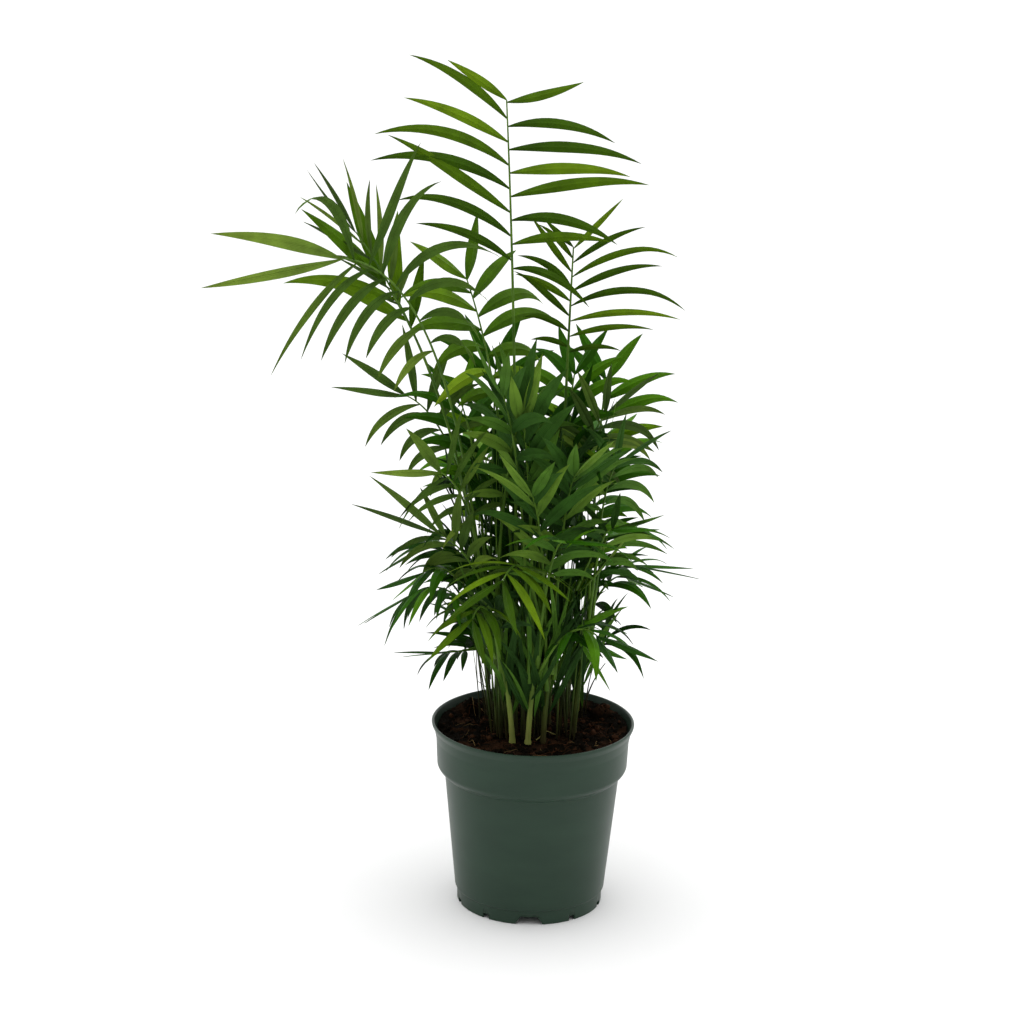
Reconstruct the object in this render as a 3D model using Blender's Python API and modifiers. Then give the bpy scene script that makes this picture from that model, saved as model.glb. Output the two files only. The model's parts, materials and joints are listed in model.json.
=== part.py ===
"""A clump of parlour palm in a round plastic nursery pot.

Metres, +Z up, origin at the centre of the pot's flat underside, -Y is the front.
"""

import itertools
import math
import random
from collections import namedtuple

import bmesh
import bpy
import numpy as np
from mathutils import Matrix, Vector
from mathutils.bvhtree import BVHTree

MM = 0.001
CLEARANCE = 0.3 * MM
UP = Vector((0.0, 0.0, 1.0))
SEED = 41

# Pot, a turned shell with a flared collar over a straight taper
POT_HEIGHT = 112.5 * MM
RIM_RADIUS = 60.0 * MM
COLLAR_HEAD_RADIUS = 57.0 * MM
COLLAR_FOOT_RADIUS = 56.3 * MM
COLLAR_DEPTH = 26.0 * MM
WALL_HEAD_RADIUS = 51.8 * MM
WALL_HEAD_Z = 78.0 * MM
WALL_FOOT_RADIUS = 44.6 * MM
FOOT_BAND_Z = 9.2 * MM
FOOT_RADIUS = 43.4 * MM
WALL = 1.5 * MM
CHANNEL_OUTER_RADIUS = 41.8 * MM
CHANNEL_INNER_RADIUS = 32.0 * MM
CHANNEL_HEIGHT = 6.0 * MM
STANDING_RADIUS = 30.5 * MM
POT_STEPS = 32

# Drain notches cut up through the foot ring: two wide ones and eight small ones
WIDE_NOTCH_FOOT = 18.0 * MM
WIDE_NOTCH_HEAD = 10.0 * MM
WIDE_NOTCH_HEIGHT = 5.0 * MM
SMALL_NOTCH_WIDTH = 4.0 * MM
SMALL_NOTCH_HEIGHT = 3.0 * MM
NOTCH_SPACING = 36.0
NOTCH_INNER_RADIUS = 37.0 * MM
NOTCH_OUTER_RADIUS = 47.0 * MM

# Soil, nearly level and 6 mm below the rim
SOIL_Z = 106.5 * MM
SOIL_STEPS = 20
SOIL_LUMPS = (
    # x, y, radius and height above the soil, in mm: crumbs heaped at the rim
    (-37.0, 28.0, 6.0, 6.5),
    (40.0, 26.0, 6.5, 6.0),
    (-22.0, 36.0, 7.0, 11.0),
    (33.0, -34.0, 7.0, 2.6),
)

# Colours, roughness
POT_COLOUR = (0.040, 0.056, 0.046)
SOIL_COLOUR = (0.012, 0.008, 0.006)
STEM_COLOUR = (0.105, 0.150, 0.035)
YOUNG_GREEN = (0.110, 0.210, 0.018)
OLD_GREEN = (0.022, 0.075, 0.010)
POT_ROUGHNESS = 0.42
SOIL_ROUGHNESS = 0.95
STEM_ROUGHNESS = 0.55
LEAF_ROUGHNESS = 0.45

# Stems: place on the soil, the way and the angle they lean, height above the soil (mm, degrees)
Stem = namedtuple("Stem", "x y lean_to lean height")
STEMS = (
    Stem(-12, -22, 180, 9, 62),
    Stem(-3, -24, 0, 5, 70),
    Stem(-26, 24, 170, 6, 58),
    Stem(27, 36, 0, 5, 66),
    Stem(6, -19, 20, 5, 48),
    Stem(-11, 3, 110, 2, 112),
    Stem(-19, -6, 190, 7, 84),
    Stem(9, 9, 40, 3, 100),
    Stem(3, 26, 90, 6, 76),
    Stem(-10, 36, 120, 8, 60),
    Stem(24, -4, 350, 7, 72),
    Stem(20, 22, 45, 6, 56),
)
STEM_RADIUS = 1.7 * MM
STEM_FLARE = 1.25
FLARE_HEIGHT = 3.0 * MM
STEM_TIP_SHARE = 0.62
STEM_SEGMENTS = 3
STEM_BEVEL_RESOLUTION = 1

# Fronds: their stem, how far below its tip they leave it, the way they point, how far out
# and how high their tip is (mm, degrees). The middle of the arch stands at the shares "out"
# and "up" of that reach and rise. "bare" is the leafless share of the stalk. "leaf" and
# "width" are the largest leaflet's, "last" the share of that length at the rib's tip,
# "bend" how fast the leaflets droop and "roll" the turn of the leaf plane about the rib.
# "open" is the leaflets' angle to the rib at its foot, "end" that of the last pair, "skew"
# makes the leaflets of one side longer, "lean" opens one side more, and
# "close" is how much the angle closes along the rib.
Frond = namedtuple(
    "Frond",
    "name stem drop way reach tip_z out up bare pairs leaf width bend roll open end last skew "
    "lean close",
)
LEADING_FRONDS = (
    Frond("crown", 5, 0, 122, 20, 477, 0.3, 0.55, 0.6, 8, 88, 7, 0.65, -50, 71, 62, 0.52, 0, -12, 16),
    Frond("tall_right", 7, 0, 75, 16, 392, 0.4, 0.6, 0.62, 8, 54, 4.5, 0.7, 0, 62, 46, 0.6, -0.26, -3, 20),
    Frond("inner_left", 5, 12, 156, 32, 374, 0.25, 0.65, 0.5, 7, 56, 9, 0.9, -20, 78, 40, 0.8, 0, 0, 30),
    Frond("high_left", 6, 0, 174, 78, 404, 0.3, 0.66, 0.74, 6, 52, 4.5, 0.3, 50, 60, 14, 0.9, 0, 0, 32),
    Frond("upright_left", 6, 6, 168, 62, 372, 0.3, 0.7, 0.8, 3, 64, 9, 0.6, -60, 38, 14, 1, 0, 0, 20),
    Frond("arching_left", 6, 12, 190, 98, 402, 0.26, 0.96, 0.5, 8, 60, 7, 2.4, 65, 78, 12, 1.55, 0.08, 0, 20),
    Frond("middle_left", 2, 0, 182, 46, 303, 0.2, 0.88, 0.48, 6, 46, 6, 1.4, 65, 74, 20, 1.15, 0, 0, 28),
    Frond("side_left", 6, 22, 196, 50, 278, 0.3, 0.85, 0.5, 6, 38, 6, 1.3, 60, 70, 14, 1.35, 0, 0, 28),
    Frond("low_left", 0, 0, 186, 34, 234, 0.3, 0.8, 0.5, 6, 40, 6, 1.1, 50, 66, 14, 1.3, 0, 0, 28),
    Frond("fan_right", 7, 10, 15, 24, 296, 0.2, 0.75, 0.45, 7, 52, 6.5, 1.1, -65, 76, 30, 0.75, 0.15, 0, 34),
    Frond("middle_right", 10, 0, 5, 12, 272, 0.2, 0.85, 0.4, 6, 44, 5.5, 1.2, -55, 74, 30, 0.8, 0.1, 0, 34),
    Frond("side_right", 10, 10, 318, 16, 238, 0.3, 0.85, 0.35, 6, 36, 5, 1.1, -40, 74, 26, 0.85, 0.1, 0, 34),
    Frond("far_right", 3, 0, 6, 24, 198, 0.4, 1.1, 0.3, 5, 36, 4.5, 0.6, 0, 66, 16, 1.2, 0, 0, 34),
    Frond("low_right", 3, 12, 348, 2, 164, 0.45, 1.2, 0.25, 4, 26, 5, 1, 0, 76, 30, 0.8, 0, 0, 34),
    Frond("lowest_right", 4, 10, 352, 12, 174, 0.3, 1.3, 0.3, 4, 38, 6, 0.35, 20, 70, 20, 0.95, 0, 0, 34),
    Frond("fan_left", 0, 10, 188, 48, 200, 0.5, 1.35, 0.3, 8, 42, 5, 2, 20, 76, 20, 0.9, 0, 0, 34),
    Frond("lowest_left", 2, 16, 200, 22, 148, 0.6, 1.5, 0.3, 4, 34, 5, 1.4, 10, 76, 20, 0.9, 0, 0, 34),
    Frond("front", 1, 0, 242, 48, 220, 0.45, 1.5, 0.45, 6, 48, 5.5, 0.9, 0, 84, 34, 0.9, 0, 0, 34),
    Frond("low_front", 0, 18, 238, 32, 192, 0.5, 1.5, 0.45, 5, 38, 5.5, 1.1, 0, 84, 36, 0.9, 0, 0, 34),
    Frond("upright_front", 1, 8, 268, 14, 310, 0.25, 0.62, 0.55, 6, 54, 9, 0.5, 0, 40, 14, 0.9, 0, 0, 20),
    Frond("side_front", 4, 6, 300, 26, 276, 0.28, 0.85, 0.45, 6, 50, 8, 0.8, 0, 52, 20, 0.8, 0, 0, 26),
    Frond("inner_front", 4, 16, 238, 31, 265, 0.25, 0.8, 0.4, 6, 51, 7.6, 0.8, 4, 50, 21, 0.8, 0, 0, 26),
    Frond("spear_front", 4, 0, 12, 14, 196, 0.2, 0.7, 0.35, 3, 58, 8, 0.3, -20, 24, 8, 0.9, 0, 0, 10),
)

# The rest fill the clump behind and between, in three tiers, by one rule
Tier = namedtuple("Tier", "reach tip_z out up bare pairs leaf width bend")
TIERS = (
    Tier(38, 196, 0.50, 1.30, 0.30, 4, 42, 7.0, 1.3),
    Tier(40, 254, 0.34, 0.95, 0.40, 5, 44, 7.5, 1.1),
    Tier(26, 308, 0.26, 0.76, 0.50, 5, 46, 8.0, 0.9),
)
FILLING_FRONDS = 22
FILLING_STEMS = (8, 9, 11, 3, 2, 7, 5, 10, 6, 4, 1)
BACK_SHARE = 0.74
BACK_START = 44.0
BACK_ROUND = 126.0
FRONT_START = 210.0
FRONT_ROUND = 110.0
FILLING_ROLL = 10.0
FILLING_OPEN = 64.0
FILLING_END = 28.0
FILLING_LAST = 0.8
FILLING_CLOSE = 30.0
GOLDEN_SHARE = 0.618034
DROP_STEP = 9.0
FIRST_DROP = 4.0
REACH_SPREAD = 0.20
TIP_SPREAD = 16.0

# Stalks are three-sided and taper from the petiole's base to the rib's tip
PETIOLE_RADIUS = 1.05 * MM
RIB_RADIUS = 0.80 * MM
RIB_TIP_RADIUS = 0.45 * MM
PETIOLE_SEGMENTS = 3
RIB_SEGMENTS = 4
STALK_GAP = 0.5 * MM
STALK_SAMPLES = 200
SHIFT_TRIES = (0, 4, -4, 8, -8, 12, -12, 17, -17, 23, -23, 30, -30, 38, -38)
LOWER_TRIES = (0, 5, 10, 15, 20, 25)

# Leaflets: the line of a leaflet is stepped out from its root, and its sections stand at
# some of the steps, each with its share of the width. It ends in a point.
LINE_STEPS = 8
LONG_STATIONS = ((0, 0.12), (2, 0.94), (5, 0.88))
SHORT_STATIONS = ((0, 0.12), (3, 1.0))
LONG_LEAVED = ("crown", "tall_right", "high_left", "upright_left", "arching_left")
KEEL_SHARE = 0.013
ROOT_KEEL = 0.45 * MM
ROOT_LENGTH_SHARE = 0.55
NARROW_SHARE = 0.75
LAST_WIDTH = 0.6
LAST_BEND = 0.06
LIFT = 8.0
SIDE_STEP = 0.16
PAIR_START = 0.25
PAIR_END = 0.75
LAST_SHARES = (0.985, 1.0)
LEAF_GAP = 0.35 * MM
ANGLE_JITTER = 9.0
LENGTH_JITTER = 0.14
LEAF_TRIES = (
    # change of angle and of lift in degrees, share of the length
    (0, 0, 1.0),
    (8, 6, 1.0),
    (-8, 6, 1.0),
    (0, 16, 1.0),
    (0, -16, 1.0),
    (14, 12, 0.9),
    (-14, -12, 0.9),
    (20, -20, 0.8),
    (-20, 24, 0.8),
    (6, 30, 0.7),
    (-6, -30, 0.7),
)


def clear_scene():
    for thing in list(bpy.data.objects):
        bpy.data.objects.remove(thing, do_unlink=True)


def new_collection(name):
    collection = bpy.data.collections.new(name)
    bpy.context.scene.collection.children.link(collection)
    return collection


def paint(obj, colour, roughness):
    """One plain Principled material, named for the object that wears it."""
    material = bpy.data.materials.new(obj.name)
    material.use_nodes = True
    shader = material.node_tree.nodes["Principled BSDF"]
    shader.inputs["Base Color"].default_value = (*colour, 1.0)
    shader.inputs["Roughness"].default_value = roughness
    shader.inputs["Metallic"].default_value = 0.0
    material.diffuse_color = (*colour, 1.0)
    obj.data.materials.clear()
    obj.data.materials.append(material)


def mesh_object(name, shape, collection):
    """Turns a bmesh into an object, and frees the bmesh."""
    mesh = bpy.data.meshes.new(name)
    shape.to_mesh(mesh)
    shape.free()
    obj = bpy.data.objects.new(name, mesh)
    collection.objects.link(obj)
    return obj


def turned(name, profile, steps, collection):
    """A closed turned body from a profile that starts and ends on the axis."""
    shape = bmesh.new()
    points = [shape.verts.new((radius, 0.0, z)) for radius, z in profile]
    for first, second in zip(points, points[1:]):
        shape.edges.new((first, second))
    obj = mesh_object(name, shape, collection)
    screw = obj.modifiers.new("Turn", "SCREW")
    screw.steps = steps
    screw.render_steps = steps
    screw.use_merge_vertices = True
    screw.merge_threshold = 1e-6
    screw.use_smooth_shade = True
    return obj


def outer_wall():
    """(radius, z) down the outside of the pot, from the lip to the foot."""
    collar_z = POT_HEIGHT - COLLAR_DEPTH
    step = COLLAR_FOOT_RADIUS - WALL_HEAD_RADIUS
    fall = collar_z - WALL_HEAD_Z
    step_curve = [
        (COLLAR_FOOT_RADIUS - step * (1 - math.cos(turn)) / 2, collar_z - fall * turn / math.pi)
        for turn in (math.pi / 3, math.pi * 2 / 3)
    ]
    return [
        (RIM_RADIUS - 0.5 * MM, POT_HEIGHT),
        (RIM_RADIUS, POT_HEIGHT - 0.7 * MM),
        (RIM_RADIUS - 0.3 * MM, POT_HEIGHT - 1.8 * MM),
        (RIM_RADIUS - 1.8 * MM, POT_HEIGHT - 5.0 * MM),
        (COLLAR_HEAD_RADIUS, POT_HEIGHT - 11.0 * MM),
        (COLLAR_FOOT_RADIUS, collar_z),
        *step_curve,
        (WALL_HEAD_RADIUS, WALL_HEAD_Z),
        (WALL_FOOT_RADIUS, FOOT_BAND_Z),
        (FOOT_RADIUS, FOOT_BAND_Z - 0.7 * MM),
        (FOOT_RADIUS - 0.2 * MM, 0.0),
    ]


def inner_wall(inset):
    """(radius, z) up the inside of the wall, from above the channel to the lip."""
    wall = [
        (radius - inset, z)
        for radius, z in reversed(outer_wall())
        if FOOT_BAND_Z <= z < POT_HEIGHT - 2.0 * MM
    ]
    foot = (wall[0][0] - 0.2 * MM, CHANNEL_HEIGHT + inset)
    return [foot, *wall[1:]]


def make_pot(parts, cutters):
    floor = [
        (0.0, WALL),
        (STANDING_RADIUS - WALL, WALL),
        (CHANNEL_INNER_RADIUS - WALL, CHANNEL_HEIGHT + WALL),
    ]
    lip = [(RIM_RADIUS - 1.7 * MM, POT_HEIGHT - 0.7 * MM)]
    underside = [
        (CHANNEL_OUTER_RADIUS, 0.0),
        (CHANNEL_OUTER_RADIUS - 0.3 * MM, CHANNEL_HEIGHT),
        (CHANNEL_INNER_RADIUS, CHANNEL_HEIGHT),
        (STANDING_RADIUS, 0.0),
        (0.0, 0.0),
    ]
    profile = [*floor, *inner_wall(WALL), *lip, *outer_wall(), *underside]
    pot = turned("pot", profile, POT_STEPS, parts)
    for place in range(round(360 / NOTCH_SPACING)):
        wide = place % 5 == 0
        foot = WIDE_NOTCH_FOOT if wide else SMALL_NOTCH_WIDTH
        head = WIDE_NOTCH_HEAD if wide else SMALL_NOTCH_WIDTH
        height = WIDE_NOTCH_HEIGHT if wide else SMALL_NOTCH_HEIGHT
        cut_notch(f"notch_{place}", place * NOTCH_SPACING, foot, head, height, cutters)
    drain = pot.modifiers.new("Drain notches", "BOOLEAN")
    drain.operation = "DIFFERENCE"
    drain.operand_type = "COLLECTION"
    drain.collection = cutters
    drain.solver = "EXACT"
    paint(pot, POT_COLOUR, POT_ROUGHNESS)
    return pot


def cut_notch(name, way, foot, head, height, cutters):
    """A block tapered upwards, which reaches from the channel out through the foot ring."""
    shape = bmesh.new()
    bmesh.ops.create_cube(shape, size=1.0)
    low = -1.0 * MM
    depth = NOTCH_OUTER_RADIUS - NOTCH_INNER_RADIUS
    for corner in shape.verts:
        top = corner.co.z > 0
        corner.co.x *= head if top else foot
        corner.co.y = corner.co.y * depth - (NOTCH_OUTER_RADIUS + NOTCH_INNER_RADIUS) / 2
        corner.co.z = height if top else low
    cutter = mesh_object(name, shape, cutters)
    cutter.rotation_euler.z = math.radians(way)
    cutter.hide_render = True
    cutter.display_type = "WIRE"


def make_soil(parts, lumps):
    inset = WALL + CLEARANCE
    edge = [(radius, z) for radius, z in inner_wall(inset) if z < SOIL_Z - 4.0 * MM]
    shoulder = (edge[-1][0] + 0.2 * MM, SOIL_Z - 3.0 * MM)
    top = [(0.0, SOIL_Z), (RIM_RADIUS * 0.84, SOIL_Z), shoulder]
    bottom = [
        (edge[0][0] - 0.2 * MM, CHANNEL_HEIGHT + inset),
        (CHANNEL_INNER_RADIUS - WALL - CLEARANCE, CHANNEL_HEIGHT + inset),
        (STANDING_RADIUS - WALL - CLEARANCE, inset),
        (0.0, inset),
    ]
    profile = [*top, *reversed(edge[1:]), *bottom]
    soil = turned("soil", profile, SOIL_STEPS, parts)
    for number, (x, y, radius, height) in enumerate(SOIL_LUMPS):
        shape = bmesh.new()
        bmesh.ops.create_icosphere(shape, subdivisions=1, radius=radius * MM)
        bmesh.ops.scale(shape, vec=(1.0, 0.8, height / radius), verts=shape.verts)
        lump = mesh_object(f"lump_{number}", shape, lumps)
        lump.location = (x * MM, y * MM, SOIL_Z)
        lump.rotation_euler.z = math.radians(50.0 * number)
        lump.hide_render = True
        lump.display_type = "WIRE"
    heap = soil.modifiers.new("Crumbs", "BOOLEAN")
    heap.operation = "UNION"
    heap.operand_type = "COLLECTION"
    heap.collection = lumps
    heap.solver = "EXACT"
    paint(soil, SOIL_COLOUR, SOIL_ROUGHNESS)
    return soil


def heading(degrees):
    angle = math.radians(degrees)
    return Vector((math.cos(angle), math.sin(angle), 0.0))


def stem_axis(stem, height):
    """The point on the stem's axis at a height above the soil: the lean grows as it rises."""
    full = stem.height * MM
    lean = math.tan(math.radians(stem.lean)) * height * (0.4 + 0.6 * height / full)
    place = Vector((stem.x * MM, stem.y * MM, SOIL_Z + CLEARANCE + height))
    return place + heading(stem.lean_to) * lean


def stem_radius(stem, height):
    if height < FLARE_HEIGHT:
        return STEM_RADIUS * (STEM_FLARE - (STEM_FLARE - 1.0) * height / FLARE_HEIGHT)
    share = (height - FLARE_HEIGHT) / (stem.height * MM - FLARE_HEIGHT)
    return STEM_RADIUS * (1.0 - (1.0 - STEM_TIP_SHARE) * share)


def curve_object(name, points, radii, collection):
    """An open curve through the points, with a radius at each for its bevel."""
    data = bpy.data.curves.new(name, "CURVE")
    data.dimensions = "3D"
    spline = data.splines.new("POLY")
    spline.points.add(len(points) - 1)
    for point, place, radius in zip(spline.points, points, radii):
        point.co = (*place, 1.0)
        point.radius = radius
    data.use_fill_caps = True
    obj = bpy.data.objects.new(name, data)
    collection.objects.link(obj)
    return obj


def make_stem(number, stem, parts):
    heights = [0.0, FLARE_HEIGHT]
    top = stem.height * MM
    for k in range(1, STEM_SEGMENTS + 1):
        heights.append(FLARE_HEIGHT + (top - FLARE_HEIGHT) * k / STEM_SEGMENTS)
    points = [stem_axis(stem, height) for height in heights]
    points[1].xy = points[0].xy
    radii = [stem_radius(stem, height) for height in heights]
    obj = curve_object(f"stem_{number + 1:02d}", points, radii, parts)
    obj.data.bevel_depth = 1.0
    obj.data.bevel_resolution = STEM_BEVEL_RESOLUTION
    paint(obj, STEM_COLOUR, STEM_ROUGHNESS)
    return obj


class Spine:
    """A frond's axis: a polyline along an arch in the upright plane that it points in."""

    def __init__(self, frond, shift=0.0, lower=0.0):
        stem = STEMS[frond.stem]
        self.out = heading(frond.way + shift)
        self.across = UP.cross(self.out)
        height = (stem.height - frond.drop - lower) * MM
        start = stem_axis(stem, height)
        if frond.drop:
            start += self.out * (stem_radius(stem, height) + CLEARANCE + 1.3 * PETIOLE_RADIUS)
        else:
            start += UP * 2.0 * CLEARANCE
        rise = frond.tip_z * MM - start.z
        end = start + self.out * frond.reach * MM + UP * rise
        middle = start + self.out * frond.reach * MM * frond.out + UP * rise * frond.up
        self.bends = (start, middle, end)
        self.bare = frond.bare
        shares = [frond.bare * k / PETIOLE_SEGMENTS for k in range(PETIOLE_SEGMENTS)]
        rest = 1.0 - frond.bare
        shares += [frond.bare + rest * k / RIB_SEGMENTS for k in range(RIB_SEGMENTS + 1)]
        self.shares = shares
        self.points = [self.arch(share) for share in shares]

    def arch(self, share):
        start, middle, end = self.bends
        back = 1.0 - share
        return start * back * back + middle * 2.0 * back * share + end * share * share

    def along(self, share):
        start, middle, end = self.bends
        return ((middle - start) * (1.0 - share) + (end - middle) * share).normalized()

    def at(self, share):
        """The point on the polyline itself, so that a leaflet's root is inside the stalk."""
        for k, (low, high) in enumerate(zip(self.shares, self.shares[1:])):
            if share <= high + 1e-9:
                part = (share - low) / (high - low)
                return self.points[k].lerp(self.points[k + 1], part)
        return self.points[-1].copy()

    def radius(self, share):
        if share < self.bare:
            return PETIOLE_RADIUS + (RIB_RADIUS - PETIOLE_RADIUS) * share / self.bare
        part = (share - self.bare) / (1.0 - self.bare)
        return RIB_RADIUS + (RIB_TIP_RADIUS - RIB_RADIUS) * part

    def samples(self):
        """Rows of x, y, z and radius, close together along the stalk."""
        shares = [k / STALK_SAMPLES for k in range(STALK_SAMPLES + 1)]
        return np.array([(*self.at(share), self.radius(share)) for share in shares])


def filling_fronds():
    """The fronds of the rule: golden steps round the back of the clump, and a few in front."""
    rng = random.Random(SEED)
    fronds = []
    back_count = round(FILLING_FRONDS * BACK_SHARE)
    for number in range(FILLING_FRONDS):
        tier = TIERS[number % len(TIERS)]
        turn = (number * GOLDEN_SHARE) % 1.0
        if number < back_count:
            way = BACK_START + BACK_ROUND * turn
        else:
            way = FRONT_START + FRONT_ROUND * turn
        stem = nearest_free_stem(way, number)
        fronds.append(
            Frond(
                f"rule_{number + 1:02d}",
                stem,
                FIRST_DROP + DROP_STEP * (number // len(FILLING_STEMS) + 1),
                way,
                tier.reach * (1.0 + REACH_SPREAD * rng.uniform(-1.0, 1.0)),
                tier.tip_z + TIP_SPREAD * rng.uniform(-1.0, 1.0),
                tier.out,
                tier.up,
                tier.bare,
                tier.pairs,
                tier.leaf,
                tier.width,
                tier.bend,
                FILLING_ROLL * rng.uniform(-1.0, 1.0),
                FILLING_OPEN,
                FILLING_END,
                FILLING_LAST,
                0.0,
                0.0,
                FILLING_CLOSE,
            )
        )
    return fronds


def nearest_free_stem(way, number):
    """Deals the stems out in rounds, and in each round the next one to the frond's side."""
    offset = number % len(FILLING_STEMS)
    ahead = heading(way)
    choices = [FILLING_STEMS[(offset + k) % len(FILLING_STEMS)] for k in range(3)]
    return max(choices, key=lambda k: STEMS[k].x * ahead.x + STEMS[k].y * ahead.y)


def distance_clear(stalk, others):
    """Whether the stalk, rows of x, y, z and radius, keeps its gap to those that are there."""
    for other in others:
        apart = np.linalg.norm(stalk[:, None, :3] - other[None, :, :3], axis=2)
        if (apart < stalk[:, None, 3] + other[None, :, 3] + STALK_GAP).any():
            return False
    return True


def leaf_line(root, along, length, bend):
    """Steps out from the root, turning down a little more at each: a level leaflet most."""
    flat = math.hypot(along.x, along.y)
    line = [root.copy()]
    for k in range(LINE_STEPS):
        droop = bend * flat * (k + 0.5) / LINE_STEPS
        step = (along - UP * droop).normalized() * length / LINE_STEPS
        line.append(line[-1] + step)
    return line


def blade_rings(root, along, across, upper, length, width, stations, bend, grow):
    """The three-sided sections of a drooping leaflet, and its point. grow makes it thicker."""
    line = leaf_line(root, along, length + grow, bend)
    rings = []
    for step, breadth in stations:
        half = across * (width * breadth / 2 + grow)
        keel = ROOT_KEEL if step == 0 else length * KEEL_SHARE
        top = line[step] + upper * grow
        rings.append([top - half, top + half, line[step] - upper * (keel + grow)])
    return rings, line[-1]


def blade_faces(rings):
    faces = [(2, 1, 0)]
    for k in range(len(rings) - 1):
        for side in range(3):
            a = 3 * k + side
            b = 3 * k + (side + 1) % 3
            faces.append((a, b, b + 3, a + 3))
    last = 3 * (len(rings) - 1)
    for side in range(3):
        faces.append((last + side, last + (side + 1) % 3, last + 3))
    return faces


def placed_leaflets(frond, spine):
    """Every leaflet's place along the rib, side, angle, length, width and bend."""
    rng = random.Random(f"{frond.name} {SEED}")
    foot = ROOT_LENGTH_SHARE
    swell = 1.0 - 0.5 * (foot + frond.last)
    for pair in range(frond.pairs):
        for side in (-1.0, 1.0):
            part = (pair + SIDE_STEP * side + PAIR_START) / (frond.pairs - PAIR_END)
            part = max(0.0, min(1.0, part))
            share = foot + (frond.last - foot) * part + swell * math.sin(math.pi * part)
            angle = frond.open - frond.close * part
            bend = frond.bend
            if pair == frond.pairs - 1:
                part = LAST_SHARES[side > 0]
                angle = frond.end
                bend *= LAST_BEND
            angle += side * frond.lean
            angle += ANGLE_JITTER * rng.uniform(-1.0, 1.0)
            length = frond.leaf * MM * share * (1.0 + side * frond.skew)
            length *= 1.0 + LENGTH_JITTER * rng.uniform(-1.0, 1.0)
            full = NARROW_SHARE + (1.0 - NARROW_SHARE) * math.sin(math.pi * part)
            if pair == frond.pairs - 1:
                full = LAST_WIDTH + (1.0 - LAST_WIDTH) * frond.last
            along_stalk = spine.bare + (1.0 - spine.bare) * part
            yield along_stalk, side, angle, length, frond.width * MM * full, bend


def blade_frame(spine, share, side, roll, angle, lift):
    """The leaflet's own directions: along it, across it and its upper side."""
    rib = spine.along(share)
    turn = Matrix.Rotation(math.radians(roll), 3, rib)
    outward = turn @ (spine.across * side)
    level = rib.cross(spine.across)
    upper = turn @ (level if level.z >= 0.0 else -level)
    swing = math.radians(angle)
    raised = math.radians(lift)
    sideways = outward * math.cos(raised) + upper * math.sin(raised)
    along = (rib * math.cos(swing) + sideways * math.sin(swing)).normalized()
    across = (rib - along * rib.dot(along)).normalized()
    face = along.cross(across)
    if face.dot(upper) < 0.0:
        face = -face
    return along, across, face


def box_of(points):
    low = Vector((min(p.x for p in points), min(p.y for p in points), min(p.z for p in points)))
    high = Vector((max(p.x for p in points), max(p.y for p in points), max(p.z for p in points)))
    return low, high


class Filled:
    """What is already there, so that a new leaflet can keep clear of it."""

    def __init__(self):
        self.things = []

    def add(self, owner, points, faces):
        low, high = box_of(points)
        self.things.append((owner, low, high, BVHTree.FromPolygons(points, faces)))

    def clear(self, owner, points, faces):
        low, high = box_of(points)
        tree = None
        for other, other_low, other_high, other_tree in self.things:
            if other == owner:
                continue
            if any(low[k] > other_high[k] or high[k] < other_low[k] for k in range(3)):
                continue
            if tree is None:
                tree = BVHTree.FromPolygons(points, faces)
            if tree.overlap(other_tree):
                return False
        return True


def add_object(filled, obj):
    graph = bpy.context.evaluated_depsgraph_get()
    evaluated = obj.evaluated_get(graph)
    mesh = evaluated.to_mesh()
    points = [obj.matrix_world @ v.co for v in mesh.vertices]
    faces = [tuple(p.vertices) for p in mesh.polygons]
    evaluated.to_mesh_clear()
    filled.add(obj.name, points, faces)


def grow_leaflets(frond, spine, owner, stations, filled, collection):
    """Adds each leaflet that finds a place clear of every other limb."""
    for number, leaflet in enumerate(placed_leaflets(frond, spine)):
        share, side, angle, length, width, bend = leaflet
        root = spine.at(share)
        for angle_change, lift_change, cut in LEAF_TRIES:
            frame = blade_frame(
                spine, share, side, frond.roll, angle + angle_change, LIFT + lift_change
            )
            size = (length * cut, width, stations, bend)
            rings, tip = blade_rings(root, *frame, *size, LEAF_GAP)
            points = [point for ring in rings for point in ring] + [tip]
            faces = blade_faces(rings)
            if filled.clear(owner, points, faces):
                break
        else:
            continue
        rings, tip = blade_rings(root, *frame, *size, 0.0)
        points = [point for ring in rings for point in ring] + [tip]
        shape = bmesh.new()
        corners = [shape.verts.new(point) for point in points]
        for face in faces:
            shape.faces.new([corners[k] for k in face])
        bmesh.ops.recalc_face_normals(shape, faces=shape.faces)
        mesh_object(f"leaflet_{number}", shape, collection)
        filled.add(owner, points, faces)


def as_mesh(obj, collection):
    """The curve as a mesh object of the same name, with its caps welded on."""
    graph = bpy.context.evaluated_depsgraph_get()
    mesh = bpy.data.meshes.new_from_object(obj.evaluated_get(graph))
    shape = bmesh.new()
    shape.from_mesh(mesh)
    bmesh.ops.remove_doubles(shape, verts=shape.verts, dist=1e-6)
    bmesh.ops.recalc_face_normals(shape, faces=shape.faces)
    shape.to_mesh(mesh)
    shape.free()
    name = obj.name
    world = obj.matrix_world.copy()
    data = obj.data
    bpy.data.objects.remove(obj, do_unlink=True)
    bpy.data.curves.remove(data)
    made = bpy.data.objects.new(name, mesh)
    made.matrix_world = world
    collection.objects.link(made)
    return made


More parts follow.
